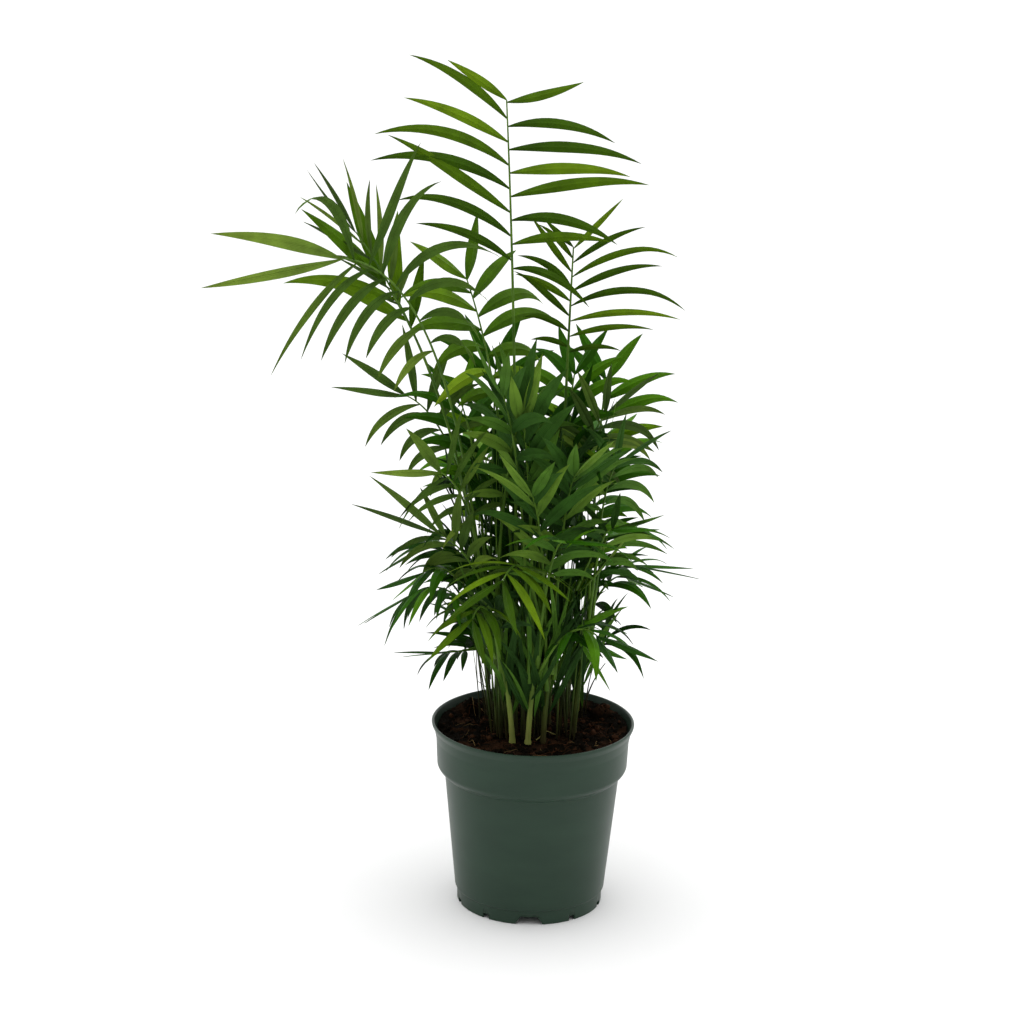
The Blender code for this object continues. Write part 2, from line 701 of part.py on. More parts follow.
def join_leaflets(stalk, leaflets):
    """One union of the stalk and its leaflets, applied, after which the leaflets are removed."""
    union = stalk.modifiers.new("Leaflets", "BOOLEAN")
    union.operation = "UNION"
    union.operand_type = "COLLECTION"
    union.collection = leaflets
    union.solver = "EXACT"
    graph = bpy.context.evaluated_depsgraph_get()
    joined = bpy.data.meshes.new_from_object(stalk.evaluated_get(graph))
    stalk.modifiers.clear()
    old = stalk.data
    stalk.data = joined
    bpy.data.meshes.remove(old)
    for leaflet in list(leaflets.objects):
        data = leaflet.data
        bpy.data.objects.remove(leaflet, do_unlink=True)
        bpy.data.meshes.remove(data)
    bpy.data.collections.remove(leaflets)


def leaf_green(frond):
    """Low inner fronds are old and dark, high and front ones young and light."""
    share = max(0.0, min(1.0, (frond.tip_z - 150.0) / 260.0))
    return [old + (young - old) * share for old, young in zip(OLD_GREEN, YOUNG_GREEN)]


def settle_spines(fronds):
    """Each frond's spine, turned aside by a few degrees where its stalk would touch another."""
    rods = []
    for stem in STEMS:
        heights = [h * MM for h in range(int(stem.height) + 1)]
        rod = [(*stem_axis(stem, height), stem_radius(stem, height)) for height in heights]
        rods.append(np.array(rod))
    settled = []
    stalks = []
    for frond in fronds:
        others = [rod for k, rod in enumerate(rods) if frond.drop or k != frond.stem]
        lowers = LOWER_TRIES if frond.drop else LOWER_TRIES[:1]
        for lower, shift in itertools.product(lowers, SHIFT_TRIES):
            spine = Spine(frond, shift, lower)
            rows = spine.samples()
            if distance_clear(rows, others + stalks):
                stalks.append(rows)
                settled.append((frond, spine))
                break
    return settled


def main():
    clear_scene()
    parts = new_collection("parlour_palm")
    cutters = new_collection("notch_cutters")
    lumps = new_collection("soil_lumps")
    guides = new_collection("guides")
    pot = make_pot(parts, cutters)
    soil = make_soil(parts, lumps)
    stems = [make_stem(number, stem, parts) for number, stem in enumerate(STEMS)]
    section_data = bpy.data.curves.new("stalk_section", "CURVE")
    section_data.dimensions = "2D"
    section_line = section_data.splines.new("POLY")
    section_line.points.add(2)
    for k, point in enumerate(section_line.points):
        angle = math.radians(90.0 + 120.0 * k)
        point.co = (math.cos(angle), math.sin(angle), 0.0, 1.0)
    section_line.use_cyclic_u = True
    section = bpy.data.objects.new("stalk_section", section_data)
    section.hide_render = True
    section.display_type = "WIRE"
    guides.objects.link(section)

    filled = Filled()
    bpy.context.view_layer.update()
    for obj in (pot, soil, *stems):
        add_object(filled, obj)
    settled = settle_spines([*LEADING_FRONDS, *filling_fronds()])
    stalks = []
    for frond, spine in settled:
        radii = [spine.radius(share) for share in spine.shares]
        curve = curve_object(f"frond_{frond.name}", spine.points, radii, parts)
        curve.data.bevel_mode = "OBJECT"
        curve.data.bevel_object = section
        bpy.context.view_layer.update()
        stalk = as_mesh(curve, parts)
        add_object(filled, stalk)
        stalks.append(stalk)
    for (frond, spine), stalk in zip(settled, stalks):
        stations = LONG_STATIONS if frond.name in LONG_LEAVED else SHORT_STATIONS
        leaflets = new_collection(f"leaflets_{frond.name}")
        grow_leaflets(frond, spine, stalk.name, stations, filled, leaflets)
        bpy.context.view_layer.update()
        join_leaflets(stalk, leaflets)
        paint(stalk, leaf_green(frond), LEAF_ROUGHNESS)
    section_owner = section.data
    bpy.data.objects.remove(section, do_unlink=True)
    bpy.data.curves.remove(section_owner)


if __name__ == "__main__":
    main()
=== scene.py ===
"""A clump of parlour palm in a round plastic nursery pot: fine surfaces, materials and light.

Metres, +Z up, origin at the centre of the pot's flat underside, -Y is the front.
"""

import itertools
import json
import random
from collections import namedtuple
from math import atan2, cos, degrees, hypot, pi, radians, sin, sqrt, tan

import bmesh
import bpy
import numpy as np
from mathutils import Matrix, Vector, noise

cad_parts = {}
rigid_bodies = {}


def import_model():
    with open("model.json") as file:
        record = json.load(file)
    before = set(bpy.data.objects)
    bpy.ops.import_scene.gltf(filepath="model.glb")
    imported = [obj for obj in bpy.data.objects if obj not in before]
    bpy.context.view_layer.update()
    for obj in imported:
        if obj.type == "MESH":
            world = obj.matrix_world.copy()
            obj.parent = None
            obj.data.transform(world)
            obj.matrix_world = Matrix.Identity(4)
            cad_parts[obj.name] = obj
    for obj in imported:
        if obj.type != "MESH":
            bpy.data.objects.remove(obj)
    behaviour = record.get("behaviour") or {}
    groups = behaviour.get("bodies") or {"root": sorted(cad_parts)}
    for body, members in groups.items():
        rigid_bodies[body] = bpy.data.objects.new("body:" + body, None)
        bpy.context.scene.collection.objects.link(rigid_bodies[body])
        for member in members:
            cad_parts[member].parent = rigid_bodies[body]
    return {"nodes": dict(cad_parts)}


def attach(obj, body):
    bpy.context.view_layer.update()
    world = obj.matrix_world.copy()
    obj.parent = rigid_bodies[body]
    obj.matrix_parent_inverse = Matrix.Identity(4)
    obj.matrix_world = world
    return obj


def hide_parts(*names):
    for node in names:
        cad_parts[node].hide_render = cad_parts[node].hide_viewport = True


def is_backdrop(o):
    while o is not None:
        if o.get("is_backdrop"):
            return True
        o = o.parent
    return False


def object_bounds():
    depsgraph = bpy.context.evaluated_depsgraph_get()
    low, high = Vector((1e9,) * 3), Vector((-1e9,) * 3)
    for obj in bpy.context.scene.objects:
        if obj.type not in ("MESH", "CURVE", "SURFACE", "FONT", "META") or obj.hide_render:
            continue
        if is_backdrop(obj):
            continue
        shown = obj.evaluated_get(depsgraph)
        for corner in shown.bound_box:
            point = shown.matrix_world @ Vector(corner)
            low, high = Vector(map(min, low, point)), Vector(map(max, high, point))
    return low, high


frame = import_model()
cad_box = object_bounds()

MM = 0.001
CLEARANCE = 0.3 * MM
UP = Vector((0.0, 0.0, 1.0))
SEED = 41

# Pot, a turned shell with a flared collar over a straight taper
POT_HEIGHT = 112.5 * MM
RIM_RADIUS = 60.0 * MM
COLLAR_HEAD_RADIUS = 57.0 * MM
COLLAR_FOOT_RADIUS = 56.3 * MM
COLLAR_DEPTH = 26.0 * MM
WALL_HEAD_RADIUS = 51.8 * MM
WALL_FOOT_RADIUS = 44.6 * MM
FOOT_BAND_Z = 9.2 * MM
FOOT_RADIUS = 43.4 * MM
WALL = 1.5 * MM
CHANNEL_OUTER_RADIUS = 41.8 * MM
CHANNEL_INNER_RADIUS = 32.0 * MM
CHANNEL_HEIGHT = 6.0 * MM
STANDING_RADIUS = 30.5 * MM
POT_STEPS = 160
STEP_POINTS = 12
STEP_POWER = 1.8
CREASE_Z = 80.6 * MM
COLLAR_HEAD_FALL = 11.0 * MM
# The rim's outline and inner side: in from its radius and down from the top, in mm
RIM_OUTSIDE = ((1.0, 0.0), (0.0, 0.5), (0.3, 2.0), (1.8, 5.0))
RIM_INSIDE = ((1.8, 5.0), (0.2, 0.6))
BAND_STEP = 0.7 * MM
DRAFT = 0.2 * MM
CHANNEL_DRAFT = 0.3 * MM
EDGE_RADIUS = 0.6 * MM
EDGE_SHARE = 0.45

# Drain notches cut up through the foot ring: two wide ones and eight small ones
WIDE_NOTCH_EVERY = 5
WIDE_NOTCH_FOOT = 18.0 * MM
WIDE_NOTCH_HEAD = 10.0 * MM
WIDE_NOTCH_HEIGHT = 5.0 * MM
SMALL_NOTCH_WIDTH = 4.0 * MM
SMALL_NOTCH_HEIGHT = 3.0 * MM
NOTCH_SPACING = 36.0
NOTCH_INNER_RADIUS = 37.0 * MM
NOTCH_OUTER_RADIUS = 47.0 * MM
NOTCH_BELOW = 1.0 * MM

# Soil, nearly level and 6 mm below the rim
SOIL_Z = 106.5 * MM
SOIL_RADIUS = 55.8 * MM
SOIL_FOOT_SHARE = 0.985
SOIL_DEPTH = 14.0 * MM
SOIL_RINGS = 110
SOIL_STEPS = 320
SOIL_LUMPS = (
    # x, y, radius and height above the soil, in mm: crumbs heaped at the rim
    (-37.0, 28.0, 6.0, 6.5),
    (40.0, 26.0, 6.5, 6.0),
    (-22.0, 36.0, 7.0, 11.0),
    (33.0, -34.0, 7.0, 2.6),
)
LUMP_POWER = 0.6

# The soil's relief in mm: slow swells, crumbs and grains, a rise at the pot's wall
SWELL = 1.5
SWELL_SCALE = 0.045
CRUMB = 1.3
CRUMB_SCALE = 0.24
CRUMB_SHIFT = Vector((7.0, 3.0, 0.0))
GRAIN = 1.62
GRAIN_SCALE = 0.42
GRAIN_REACH = 0.45
SOIL_SINK = 0.6
EDGE_START = 0.8
EDGE_RISE = 2.6
FRONT_RISE_SHARE = 0.4

# Loose on the soil, lengths in mm
CRUMBS = 700
CRUMB_SIZE = 0.5
CRUMB_SPREAD = 2.1
CRUMB_LIFT = 0.25
CRUMB_ROUGH = 0.45
CRUMB_FLATNESS = (1.0, 0.8, 0.65)
BROWN_CRUMBS = 0.35
FIBRES = 150
FIBRE_SEGMENTS = 6
FIBRE_RANGES = ((0, 360), (4, 15), (-50, 50), (0.2, 1.6))  # way, length, bend and arch
FIBRE_LIFT = 0.25
FIBRE_RADII = (0.10, 0.24)
DARK_FIBRES = 0.8
CRUMB_MARGIN = 2.5
FIBRE_MARGIN = 5.0
WALL_MARGIN = 1.5
TUFT_FIBRES = 42
TUFT_RANGES = ((14.5, 23.5), (27, 35), (0, 360), (6, 17), (1, 8))  # x, y, way, rise, reach
TUFT_NOD = 0.62
TUFT_RADIUS = 0.16
TUFT_ROOTED = 0.5 * MM
FALLEN_FOOT = (2.0, -18.5)
FALLEN_REACH = (12.5, 9.0)
FALLEN_HOOK = 0.6
FALLEN_ARCH = 3.4
FALLEN_LIFT = 0.6
FALLEN_RADIUS = 0.45
FALLEN_SEGMENTS = 8

# Stems: place on the soil, the way and the angle they lean, height above the soil (mm, degrees)
Stem = namedtuple("Stem", "x y lean_to lean height")
STEMS = (
    Stem(-12, -22, 180, 9, 62),
    Stem(-3, -24, 0, 5, 70),
    Stem(-26, 24, 170, 6, 58),
    Stem(27, 36, 0, 5, 66),
    Stem(6, -19, 20, 5, 48),
    Stem(-11, 3, 110, 2, 112),
    Stem(-19, -6, 190, 7, 84),
    Stem(9, 9, 40, 3, 100),
    Stem(3, 26, 90, 6, 76),
    Stem(-10, 36, 120, 8, 60),
    Stem(24, -4, 350, 7, 72),
    Stem(20, 22, 45, 6, 56),
)
STEM_RADIUS = 1.7 * MM
STEM_FLARE = 1.25
FLARE_HEIGHT = 3.0 * MM
STEM_TIP_SHARE = 0.62
LEAN_AT_FOOT = 0.4

# Fronds: their stem, how far below its tip they leave it, the way they point, how far out
# and how high their tip is (mm, degrees). The arch's middle is at the shares "out" and "up" of
# that reach and rise. "bare" is the leafless share of the stalk, "leaf" and "width" are the
# largest leaflet's, "bend" is its droop, "roll" the leaf plane's turn about the rib. "open" is
# the leaflets' angle to the rib at its foot, "end" the last pair's, "last" their length's share
# and "close" how much the angle closes. "skew" makes one side longer, "lean" opens it more.
Frond = namedtuple(
    "Frond",
    "name stem drop way reach tip_z out up bare pairs leaf width bend roll open end last close "
    "skew lean",
    defaults=(0, 0),
)
FROND_ROWS = (
    ("crown", 5, 0, 122, 20, 477, 0.3, 0.55, 0.6, 8, 88, 7, 0.65, -50, 71, 62, 0.52, 16, 0, -12),
    ("tall_right", 7, 0, 75, 16, 392, 0.4, 0.6, 0.62,
     8, 54, 4.5, 0.7, 0, 62, 46, 0.6, 20, -0.26, -3),
    ("inner_left", 5, 12, 156, 32, 374, 0.25, 0.65, 0.5, 7, 56, 9, 0.9, -20, 78, 40, 0.8, 30),
    ("high_left", 6, 0, 174, 78, 404, 0.3, 0.66, 0.74, 6, 52, 4.5, 0.3, 50, 60, 14, 0.9, 32),
    ("upright_left", 6, 6, 168, 62, 372, 0.3, 0.7, 0.8, 3, 64, 9, 0.6, -60, 38, 14, 1, 20),
    ("arching_left", 6, 12, 190, 98, 402, 0.26, 0.96, 0.5,
     8, 60, 7, 2.4, 65, 78, 12, 1.55, 20, 0.08),
    ("middle_left", 2, 0, 182, 46, 303, 0.2, 0.88, 0.48, 6, 46, 6, 1.4, 65, 74, 20, 1.15, 28),
    ("side_left", 6, 22, 196, 50, 278, 0.3, 0.85, 0.5, 6, 38, 6, 1.3, 60, 70, 14, 1.35, 28),
    ("low_left", 0, 0, 186, 34, 234, 0.3, 0.8, 0.5, 6, 40, 6, 1.1, 50, 66, 14, 1.3, 28),
    ("fan_right", 7, 10, 15, 24, 296, 0.2, 0.75, 0.45,
     7, 52, 6.5, 1.1, -65, 76, 30, 0.75, 34, 0.15),
    ("middle_right", 10, 0, 5, 12, 272, 0.2, 0.85, 0.4, 6, 44, 5.5, 1.2, -55, 74, 30, 0.8, 34, 0.1),
    ("side_right", 10, 10, 318, 16, 238, 0.3, 0.85, 0.35,
     6, 36, 5, 1.1, -40, 74, 26, 0.85, 34, 0.1),
    ("far_right", 3, 0, 6, 24, 198, 0.4, 1.1, 0.3, 5, 36, 4.5, 0.6, 0, 66, 16, 1.2, 34),
    ("low_right", 3, 12, 348, 2, 164, 0.45, 1.2, 0.25, 4, 26, 5, 1, 0, 76, 30, 0.8, 34),
    ("lowest_right", 4, 10, 352, 12, 174, 0.3, 1.3, 0.3, 4, 38, 6, 0.35, 20, 70, 20, 0.95, 34),
    ("fan_left", 0, 10, 188, 48, 200, 0.5, 1.35, 0.3, 8, 42, 5, 2, 20, 76, 20, 0.9, 34),
    ("lowest_left", 2, 16, 200, 22, 148, 0.6, 1.5, 0.3, 4, 34, 5, 1.4, 10, 76, 20, 0.9, 34),
    ("front", 1, 0, 242, 48, 220, 0.45, 1.5, 0.45, 6, 48, 5.5, 0.9, 0, 84, 34, 0.9, 34),
    ("low_front", 0, 18, 238, 32, 192, 0.5, 1.5, 0.45, 5, 38, 5.5, 1.1, 0, 84, 36, 0.9, 34),
    ("upright_front", 1, 8, 268, 14, 310, 0.25, 0.62, 0.55, 6, 54, 9, 0.5, 0, 40, 14, 0.9, 20),
    ("side_front", 4, 6, 300, 26, 276, 0.28, 0.85, 0.45, 6, 50, 8, 0.8, 0, 52, 20, 0.8, 26),
    ("inner_front", 4, 16, 238, 31, 265, 0.25, 0.8, 0.4, 6, 51, 7.6, 0.8, 4, 50, 21, 0.8, 26),
    ("spear_front", 4, 0, 12, 14, 196, 0.2, 0.7, 0.35, 3, 58, 8, 0.3, -20, 24, 8, 0.9, 10),
)
LEADING_FRONDS = [Frond(*row) for row in FROND_ROWS]

# The rest fill the clump behind and between, in three tiers, by one rule
Tier = namedtuple("Tier", "reach tip_z out up bare pairs leaf width bend")
TIERS = (
    Tier(38, 196, 0.50, 1.30, 0.30, 4, 42, 7.0, 1.3),
    Tier(40, 254, 0.34, 0.95, 0.40, 5, 44, 7.5, 1.1),
    Tier(26, 308, 0.26, 0.76, 0.50, 5, 46, 8.0, 0.9),
)
FILLING_FRONDS = 22
FILLING_STEMS = (8, 9, 11, 3, 2, 7, 5, 10, 6, 4, 1)
BACK_SHARE = 0.74
BACK_START = 44.0
BACK_ROUND = 126.0
FRONT_START = 210.0
FRONT_ROUND = 110.0
FILLING_ROLL = 10.0
FILLING_LEAFLETS = (64.0, 28.0, 0.8, 30.0)  # open, end, last and close
GOLDEN_SHARE = 0.618034
DROP_STEP = 9.0
FIRST_DROP = 4.0
REACH_SPREAD = 0.20
TIP_SPREAD = 16.0
# Stalks are three-sided and taper from the petiole's base to the rib's tip
PETIOLE_RADIUS = 1.05 * MM
RIB_RADIUS = 0.80 * MM
RIB_TIP_RADIUS = 0.45 * MM
PETIOLE_SEGMENTS = 3
RIB_SEGMENTS = 4
STALK_GAP = 0.5 * MM
STALK_SAMPLES = 200
SHIFT_TRIES = (0, 4, -4, 8, -8, 12, -12, 17, -17, 23, -23, 30, -30, 38, -38)
LOWER_TRIES = (0, 5, 10, 15, 20, 25)

# Leaflets along the rib
ROOT_LENGTH_SHARE = 0.55
NARROW_SHARE = 0.75
LAST_WIDTH = 0.6
LAST_BEND = 0.06
LIFT = 8.0
SIDE_STEP = 0.16
PAIR_START = 0.25
PAIR_END = 0.75
LAST_SHARES = (0.985, 1.0)
ANGLE_JITTER = 9.0
LENGTH_JITTER = 0.14
STALK_STANDOFF = CLEARANCE + 1.3 * PETIOLE_RADIUS
TIP_GAP = 2.0 * CLEARANCE
ROUNDING = 1e-9

# Fine stalks
STALK_SIDES = 8
STALK_RINGS = 30
STALK_FLATNESS = 0.85
SHEATH_LENGTH = 9.0 * MM
SHEATH_SWELL = 0.7
ANY_WAY = Vector((0.31, 0.83, 0.12))

# Fine leaflets. Across one, the place of each point from edge to edge, and its pleat's lift
BLADE_STEPS = 16
BLADE_THICKNESS = 0.24 * MM
BLADE_SECTION = (
    *((-1.0, 0.0), (-0.66, 0.05), (-0.33, -0.02), (0.0, 0.07)),
    *((0.33, -0.02), (0.66, 0.05), (1.0, 0.0)),
)
BLADE_FOOT = 0.14
BLADE_WIDEST = 0.4
FOOT_POWER = 0.9
POINT_POWER = 1.75
FOLD_ANGLE = 13.0
BASE_FOLD = 30.0
TWIST_SPREAD = 16.0
BOW_SPREAD = 0.34
BOW_START = 0.3
BENDS = (0.8, 1.35)
NODS = (0.0, 0.2, 0.6, 1.3)
NOD_START = 0.6

# Shoots: thin young stalks between the stems, the taller ones with a few narrow leaflets.
# Ranges are in mm and degrees. The reach has a least, and a most to either side.
SHOOTS = 110
SHOOT_RADIUS = 0.52 * MM
SHOOT_FRONT = -17.0 * MM
LEAFLESS_RISE = 45.0 * MM
ROOTED = 1.0 * MM
SHOOT_SEGMENTS = 14
SHOOT_SIDES = 6
SHOOT_CLUSTER = 0.9
SHOOT_SCATTER = ((-9, 9), (-9, 9))  # in x and y
SHOOT_RANGES = ((-60, 60), (28, 185))  # turn from straight out, and rise
SHOOT_REACH = 2
LEFT_REACH = 28
RIGHT_REACH = 12
SHOOT_SWAYS = ((0, 360), (0, 0.1), (0.55, 1.15))  # way and share of the sway, and girth
SHOOT_ARCH_UP = 0.55
SHOOT_ARCH_OUT = 0.2
SHOOT_TAPER = (1.25, 0.7)
SHOOT_LEAFLETS = (4, 5, 6, 7)
SHOOT_BLADES = ((14, 60), (24, 44), (3.2, 5.6), (0.5, 1.6))  # opening, length, width, bend
SHOOT_BLADE_STEPS = 10

# Long bare stalks: x, y, rise, way and share of the tilt, spread and girth
LONG_STALKS = 26
LONG_RANGES = ((-26, 24), (-15, -5), (95, 215), (180, 360), (0, 0.13), (0, 0.6), (0.8, 1.2))
LONG_TAPER = (1.2, 0.85)

# Spears, narrow upright blades by some stems' feet: height on the stem, x and y from it, lean
# to the side and to the front, turn, length and width
SPEARS = 120
SPEAR_STEMS = (1, 4, 0, 10, 5, 7, 1, 6, 4, 8)
SPEAR_RANGES = (
    *((12, 52), (-5, 5), (-1, 6), (-26, 26), (-8, 22)),
    *((-40, 40), (36, 72), (2.4, 4.6)),
)
SPEAR_FINISHES = (0, 0, 3)
SPEAR_BENDS = (0.2, 1.1)

# Fine stems
STEM_SIDES = 18
STEM_RINGS = 56
STEM_ROOTED = 2.5 * MM
INTERNODE = 15.0 * MM
NODE_SWELL = 0.09
NODE_MEAN = 0.3


def linear(red, green, blue):
    """8-bit screen values as linear light."""
    return tuple(
        value / 12.92 if value <= 0.04045 else ((value + 0.055) / 1.055) ** 2.4
        for value in (red / 255.0, green / 255.0, blue / 255.0)
    )


# Fronds by age: the light young ones, the full grown ones, and all others, which are older
YOUNG = ("arching_left", "front", "spear_front", "low_front", "inner_left", "upright_left")
GROWN = ("crown", "tall_right", "high_left", "middle_left", "fan_right", "low_left", "side_left")
# Old fronds whose tip is below this height take the darkest greens: painted shade low in the clump
PAINTED_SHADE_BELOW = 230.0

# Colours as screen values. A leaflet takes its frond's first green or one of the next two.
GREENS = [
    linear(*green)
    for green in (
        *((29, 69, 5), (44, 91, 6), (70, 118, 10), (96, 138, 16)),
        *((55, 87, 6), (74, 107, 9), (98, 131, 16)),
        *((67, 104, 8), (87, 123, 13), (112, 146, 24)),
    )
]
OLD_STARTS = (0, 1)
GROWN_START = 4
YOUNG_START = 7
GREEN_CHOICES = (0, 0, 0, 1, 1, 2)
GREENER = ("front", "low_front")
LIGHTER = ("middle_left", "side_left")
LEAF_FOOT_TONE = (0.68, 0.72, 0.7)
LEAF_TIP_TONE = (1.06, 1.0, 0.9)
VEIN_SCALE = 3.4
VEIN_SHARE = 0.3
LEAF_GLOSS = 0.05
LEAF_ROUGHNESS = 0.42
UNDER_ROUGHNESS = 0.6
STALK_COLOURS = (linear(52, 84, 18), linear(86, 118, 36))
STEM_PALE = (linear(112, 122, 58), linear(140, 142, 76))
# STEM_PAINTED_SHADE is painted shade: the dark foot of the stems outside PALE_STEMS, where the
# clump's bases lie in shadow
STEM_PAINTED_SHADE = (linear(34, 30, 16), linear(58, 52, 26))
STEM_GREEN = (linear(60, 92, 22), linear(86, 116, 34))
PALE_STEMS = (0, 1, 3)
# SHOOT_FOOT_SHADE is painted shade: the dark foot of the shoots and long stalks at the base of the
# clump
SHOOT_FOOT_SHADE = (linear(20, 17, 8), linear(50, 44, 22))
SHOOT_GREEN = (linear(30, 56, 12), linear(62, 92, 26))
POT_COLOURS = (linear(36, 55, 43), linear(41, 61, 48))
SOIL_DARK = (linear(7, 6, 3), linear(20, 15, 9))
SOIL_BROWN = linear(54, 35, 23)
TUFT_COLOURS = (linear(70, 36, 20), linear(116, 66, 40))
CRUMB_COLOURS = (linear(38, 24, 15), linear(66, 42, 27))
FIBRE_COLOURS = (linear(40, 24, 14), linear(72, 45, 27))
FIBRE_PALE = (linear(92, 74, 46), linear(128, 106, 70))
FALLEN_COLOURS = (linear(128, 122, 70), linear(158, 150, 94))
STEM_GLOSS = 0.12

# Light: the strength of the white world in front, behind and straight up, from and to these
# sides of it, and a soft light overhead
WHITE = (1.0, 1.0, 1.0, 1.0)
FRONT_LIGHT = 0.46
BACK_LIGHT = 1.22
ZENITH_LIGHT = 1.7
FRONT_SIDE = -0.9
BACK_SIDE = 0.35
KEY_POWER = 7.0
KEY_SIZE = 1.2
KEY_PLACE = (-0.1, -0.25, 1.9)
KEY_TARGET = (0.0, 0.0, 0.2)
FLOOR_SIZE = 40.0
FLOOR_WHITE = 0.79

# Camera: the photograph's view, slightly down and rolled, through a long lens
SENSOR = 36.0
FOCAL_PIXELS = 3205.0
PHOTO_PIXELS = 1024.0
CAMERA_PLACE = (-0.0150, -1.781, 0.775)
CAMERA_DOWN = 16.7
CAMERA_ROLL = 1.2


def heading(way):
    angle = radians(way)
    return Vector((cos(angle), sin(angle), 0.0))


def drawn(rng, ranges):
    """A random number from each of the ranges."""
    return [rng.uniform(*pair) for pair in ranges]


def evenly(count):
    """Even shares of the way from 0 to 1."""
    return [k / count for k in range(count + 1)]


def circle(radius, count):
    """The places of points round a circle."""
    turns = [2.0 * pi * k / count for k in range(count)]
    return [(radius * cos(turn), radius * sin(turn)) for turn in turns]


def arched(start, middle, end, share):
    """The point at a share of the way along an arch."""
    back = 1.0 - share
    return start * back * back + middle * 2.0 * back * share + end * share * share


def tapered(line, radius, foot=1.0, fall=0.6):
    """Radii that begin at a share of this one, and lose another share of it by the tip."""
    return [radius * (foot - fall * share) for share in evenly(len(line) - 1)]


def squared(along, aside, upper):
    """A blade's directions: along it, across it towards aside, and its face, to the upper side."""
    across = (aside - along * aside.dot(along)).normalized()
    face = along.cross(across)
    return along, across, -face if face.dot(upper) < 0.0 else face


def stem_axis(stem, height):
    """The point on the stem's axis at a height above the soil: the lean grows as it rises."""
    grown = LEAN_AT_FOOT + (1.0 - LEAN_AT_FOOT) * height / (stem.height * MM)
    lean = tan(radians(stem.lean)) * height * grown
    place = Vector((stem.x * MM, stem.y * MM, SOIL_Z + CLEARANCE + height))
    return place + heading(stem.lean_to) * lean


def stem_radius(stem, height):
    if height < FLARE_HEIGHT:
        return STEM_RADIUS * (STEM_FLARE - (STEM_FLARE - 1.0) * height / FLARE_HEIGHT)
    share = (height - FLARE_HEIGHT) / (stem.height * MM - FLARE_HEIGHT)
    return STEM_RADIUS * (1.0 - (1.0 - STEM_TIP_SHARE) * share)


class Spine:
    """A frond's axis: a polyline along an arch in the upright plane that it points in."""

    def __init__(self, frond, shift=0.0, lower=0.0):
        stem = STEMS[frond.stem]
        self.out = heading(frond.way + shift)
        self.across = UP.cross(self.out)
        height = (stem.height - frond.drop - lower) * MM
        start = stem_axis(stem, height)
        if frond.drop:
            start += self.out * (stem_radius(stem, height) + STALK_STANDOFF)
        else:
            start += UP * TIP_GAP
        rise = frond.tip_z * MM - start.z
        end = start + self.out * frond.reach * MM + UP * rise
        middle = start + self.out * frond.reach * MM * frond.out + UP * rise * frond.up
        self.bends = (start, middle, end)
        self.bare = frond.bare
        shares = [frond.bare * k / PETIOLE_SEGMENTS for k in range(PETIOLE_SEGMENTS)]
        rest = 1.0 - frond.bare
        shares += [frond.bare + rest * k / RIB_SEGMENTS for k in range(RIB_SEGMENTS + 1)]
        self.shares = shares
        self.points = [self.arch(share) for share in shares]

    def arch(self, share):
        return arched(*self.bends, share)

    def along(self, share):
        start, middle, end = self.bends
        return ((middle - start) * (1.0 - share) + (end - middle) * share).normalized()

    def at(self, share):
        """The point on the polyline itself, so that a leaflet's root is inside the stalk."""
        for k, (low, high) in enumerate(zip(self.shares, self.shares[1:])):
            if share <= high + ROUNDING:
                part = (share - low) / (high - low)
                return self.points[k].lerp(self.points[k + 1], part)
        return self.points[-1].copy()

    def radius(self, share):
        if share < self.bare:
            return PETIOLE_RADIUS + (RIB_RADIUS - PETIOLE_RADIUS) * share / self.bare
        part = (share - self.bare) / (1.0 - self.bare)
        return RIB_RADIUS + (RIB_TIP_RADIUS - RIB_RADIUS) * part

    def samples(self):
        """Rows of x, y, z and radius, close together along the stalk."""
        shares = [k / STALK_SAMPLES for k in range(STALK_SAMPLES + 1)]
        return np.array([(*self.at(share), self.radius(share)) for share in shares])


def filling_fronds():
    """The fronds of the rule: golden steps round the back of the clump, and a few in front."""
    rng = random.Random(SEED)
    fronds = []
    back_count = round(FILLING_FRONDS * BACK_SHARE)
    for number in range(FILLING_FRONDS):
        tier = TIERS[number % len(TIERS)]
        turn = (number * GOLDEN_SHARE) % 1.0
        back = number < back_count
        way = BACK_START + BACK_ROUND * turn if back else FRONT_START + FRONT_ROUND * turn
        name = f"rule_{number + 1:02d}"
        stem = nearest_free_stem(way, number)
        drop = FIRST_DROP + DROP_STEP * (number // len(FILLING_STEMS) + 1)
        reach = tier.reach * (1.0 + REACH_SPREAD * rng.uniform(-1.0, 1.0))
        tip_z = tier.tip_z + TIP_SPREAD * rng.uniform(-1.0, 1.0)
        roll = FILLING_ROLL * rng.uniform(-1.0, 1.0)
        stalk = (name, stem, drop, way, reach, tip_z)
        fronds.append(Frond(*stalk, *tier[2:], roll, *FILLING_LEAFLETS))
    return fronds


def nearest_free_stem(way, number):
    """Deals the stems out in rounds, and in each round the next one to the frond's side."""
    offset = number % len(FILLING_STEMS)
    ahead = heading(way)
    choices = [FILLING_STEMS[(offset + k) % len(FILLING_STEMS)] for k in range(3)]
    return max(choices, key=lambda k: STEMS[k].x * ahead.x + STEMS[k].y * ahead.y)


def distance_clear(stalk, others):
    """Whether the stalk, rows of x, y, z and radius, keeps its gap to those that are there."""
    for other in others:
        apart = np.linalg.norm(stalk[:, None, :3] - other[None, :, :3], axis=2)
        if (apart < stalk[:, None, 3] + other[None, :, 3] + STALK_GAP).any():
            return False
    return True


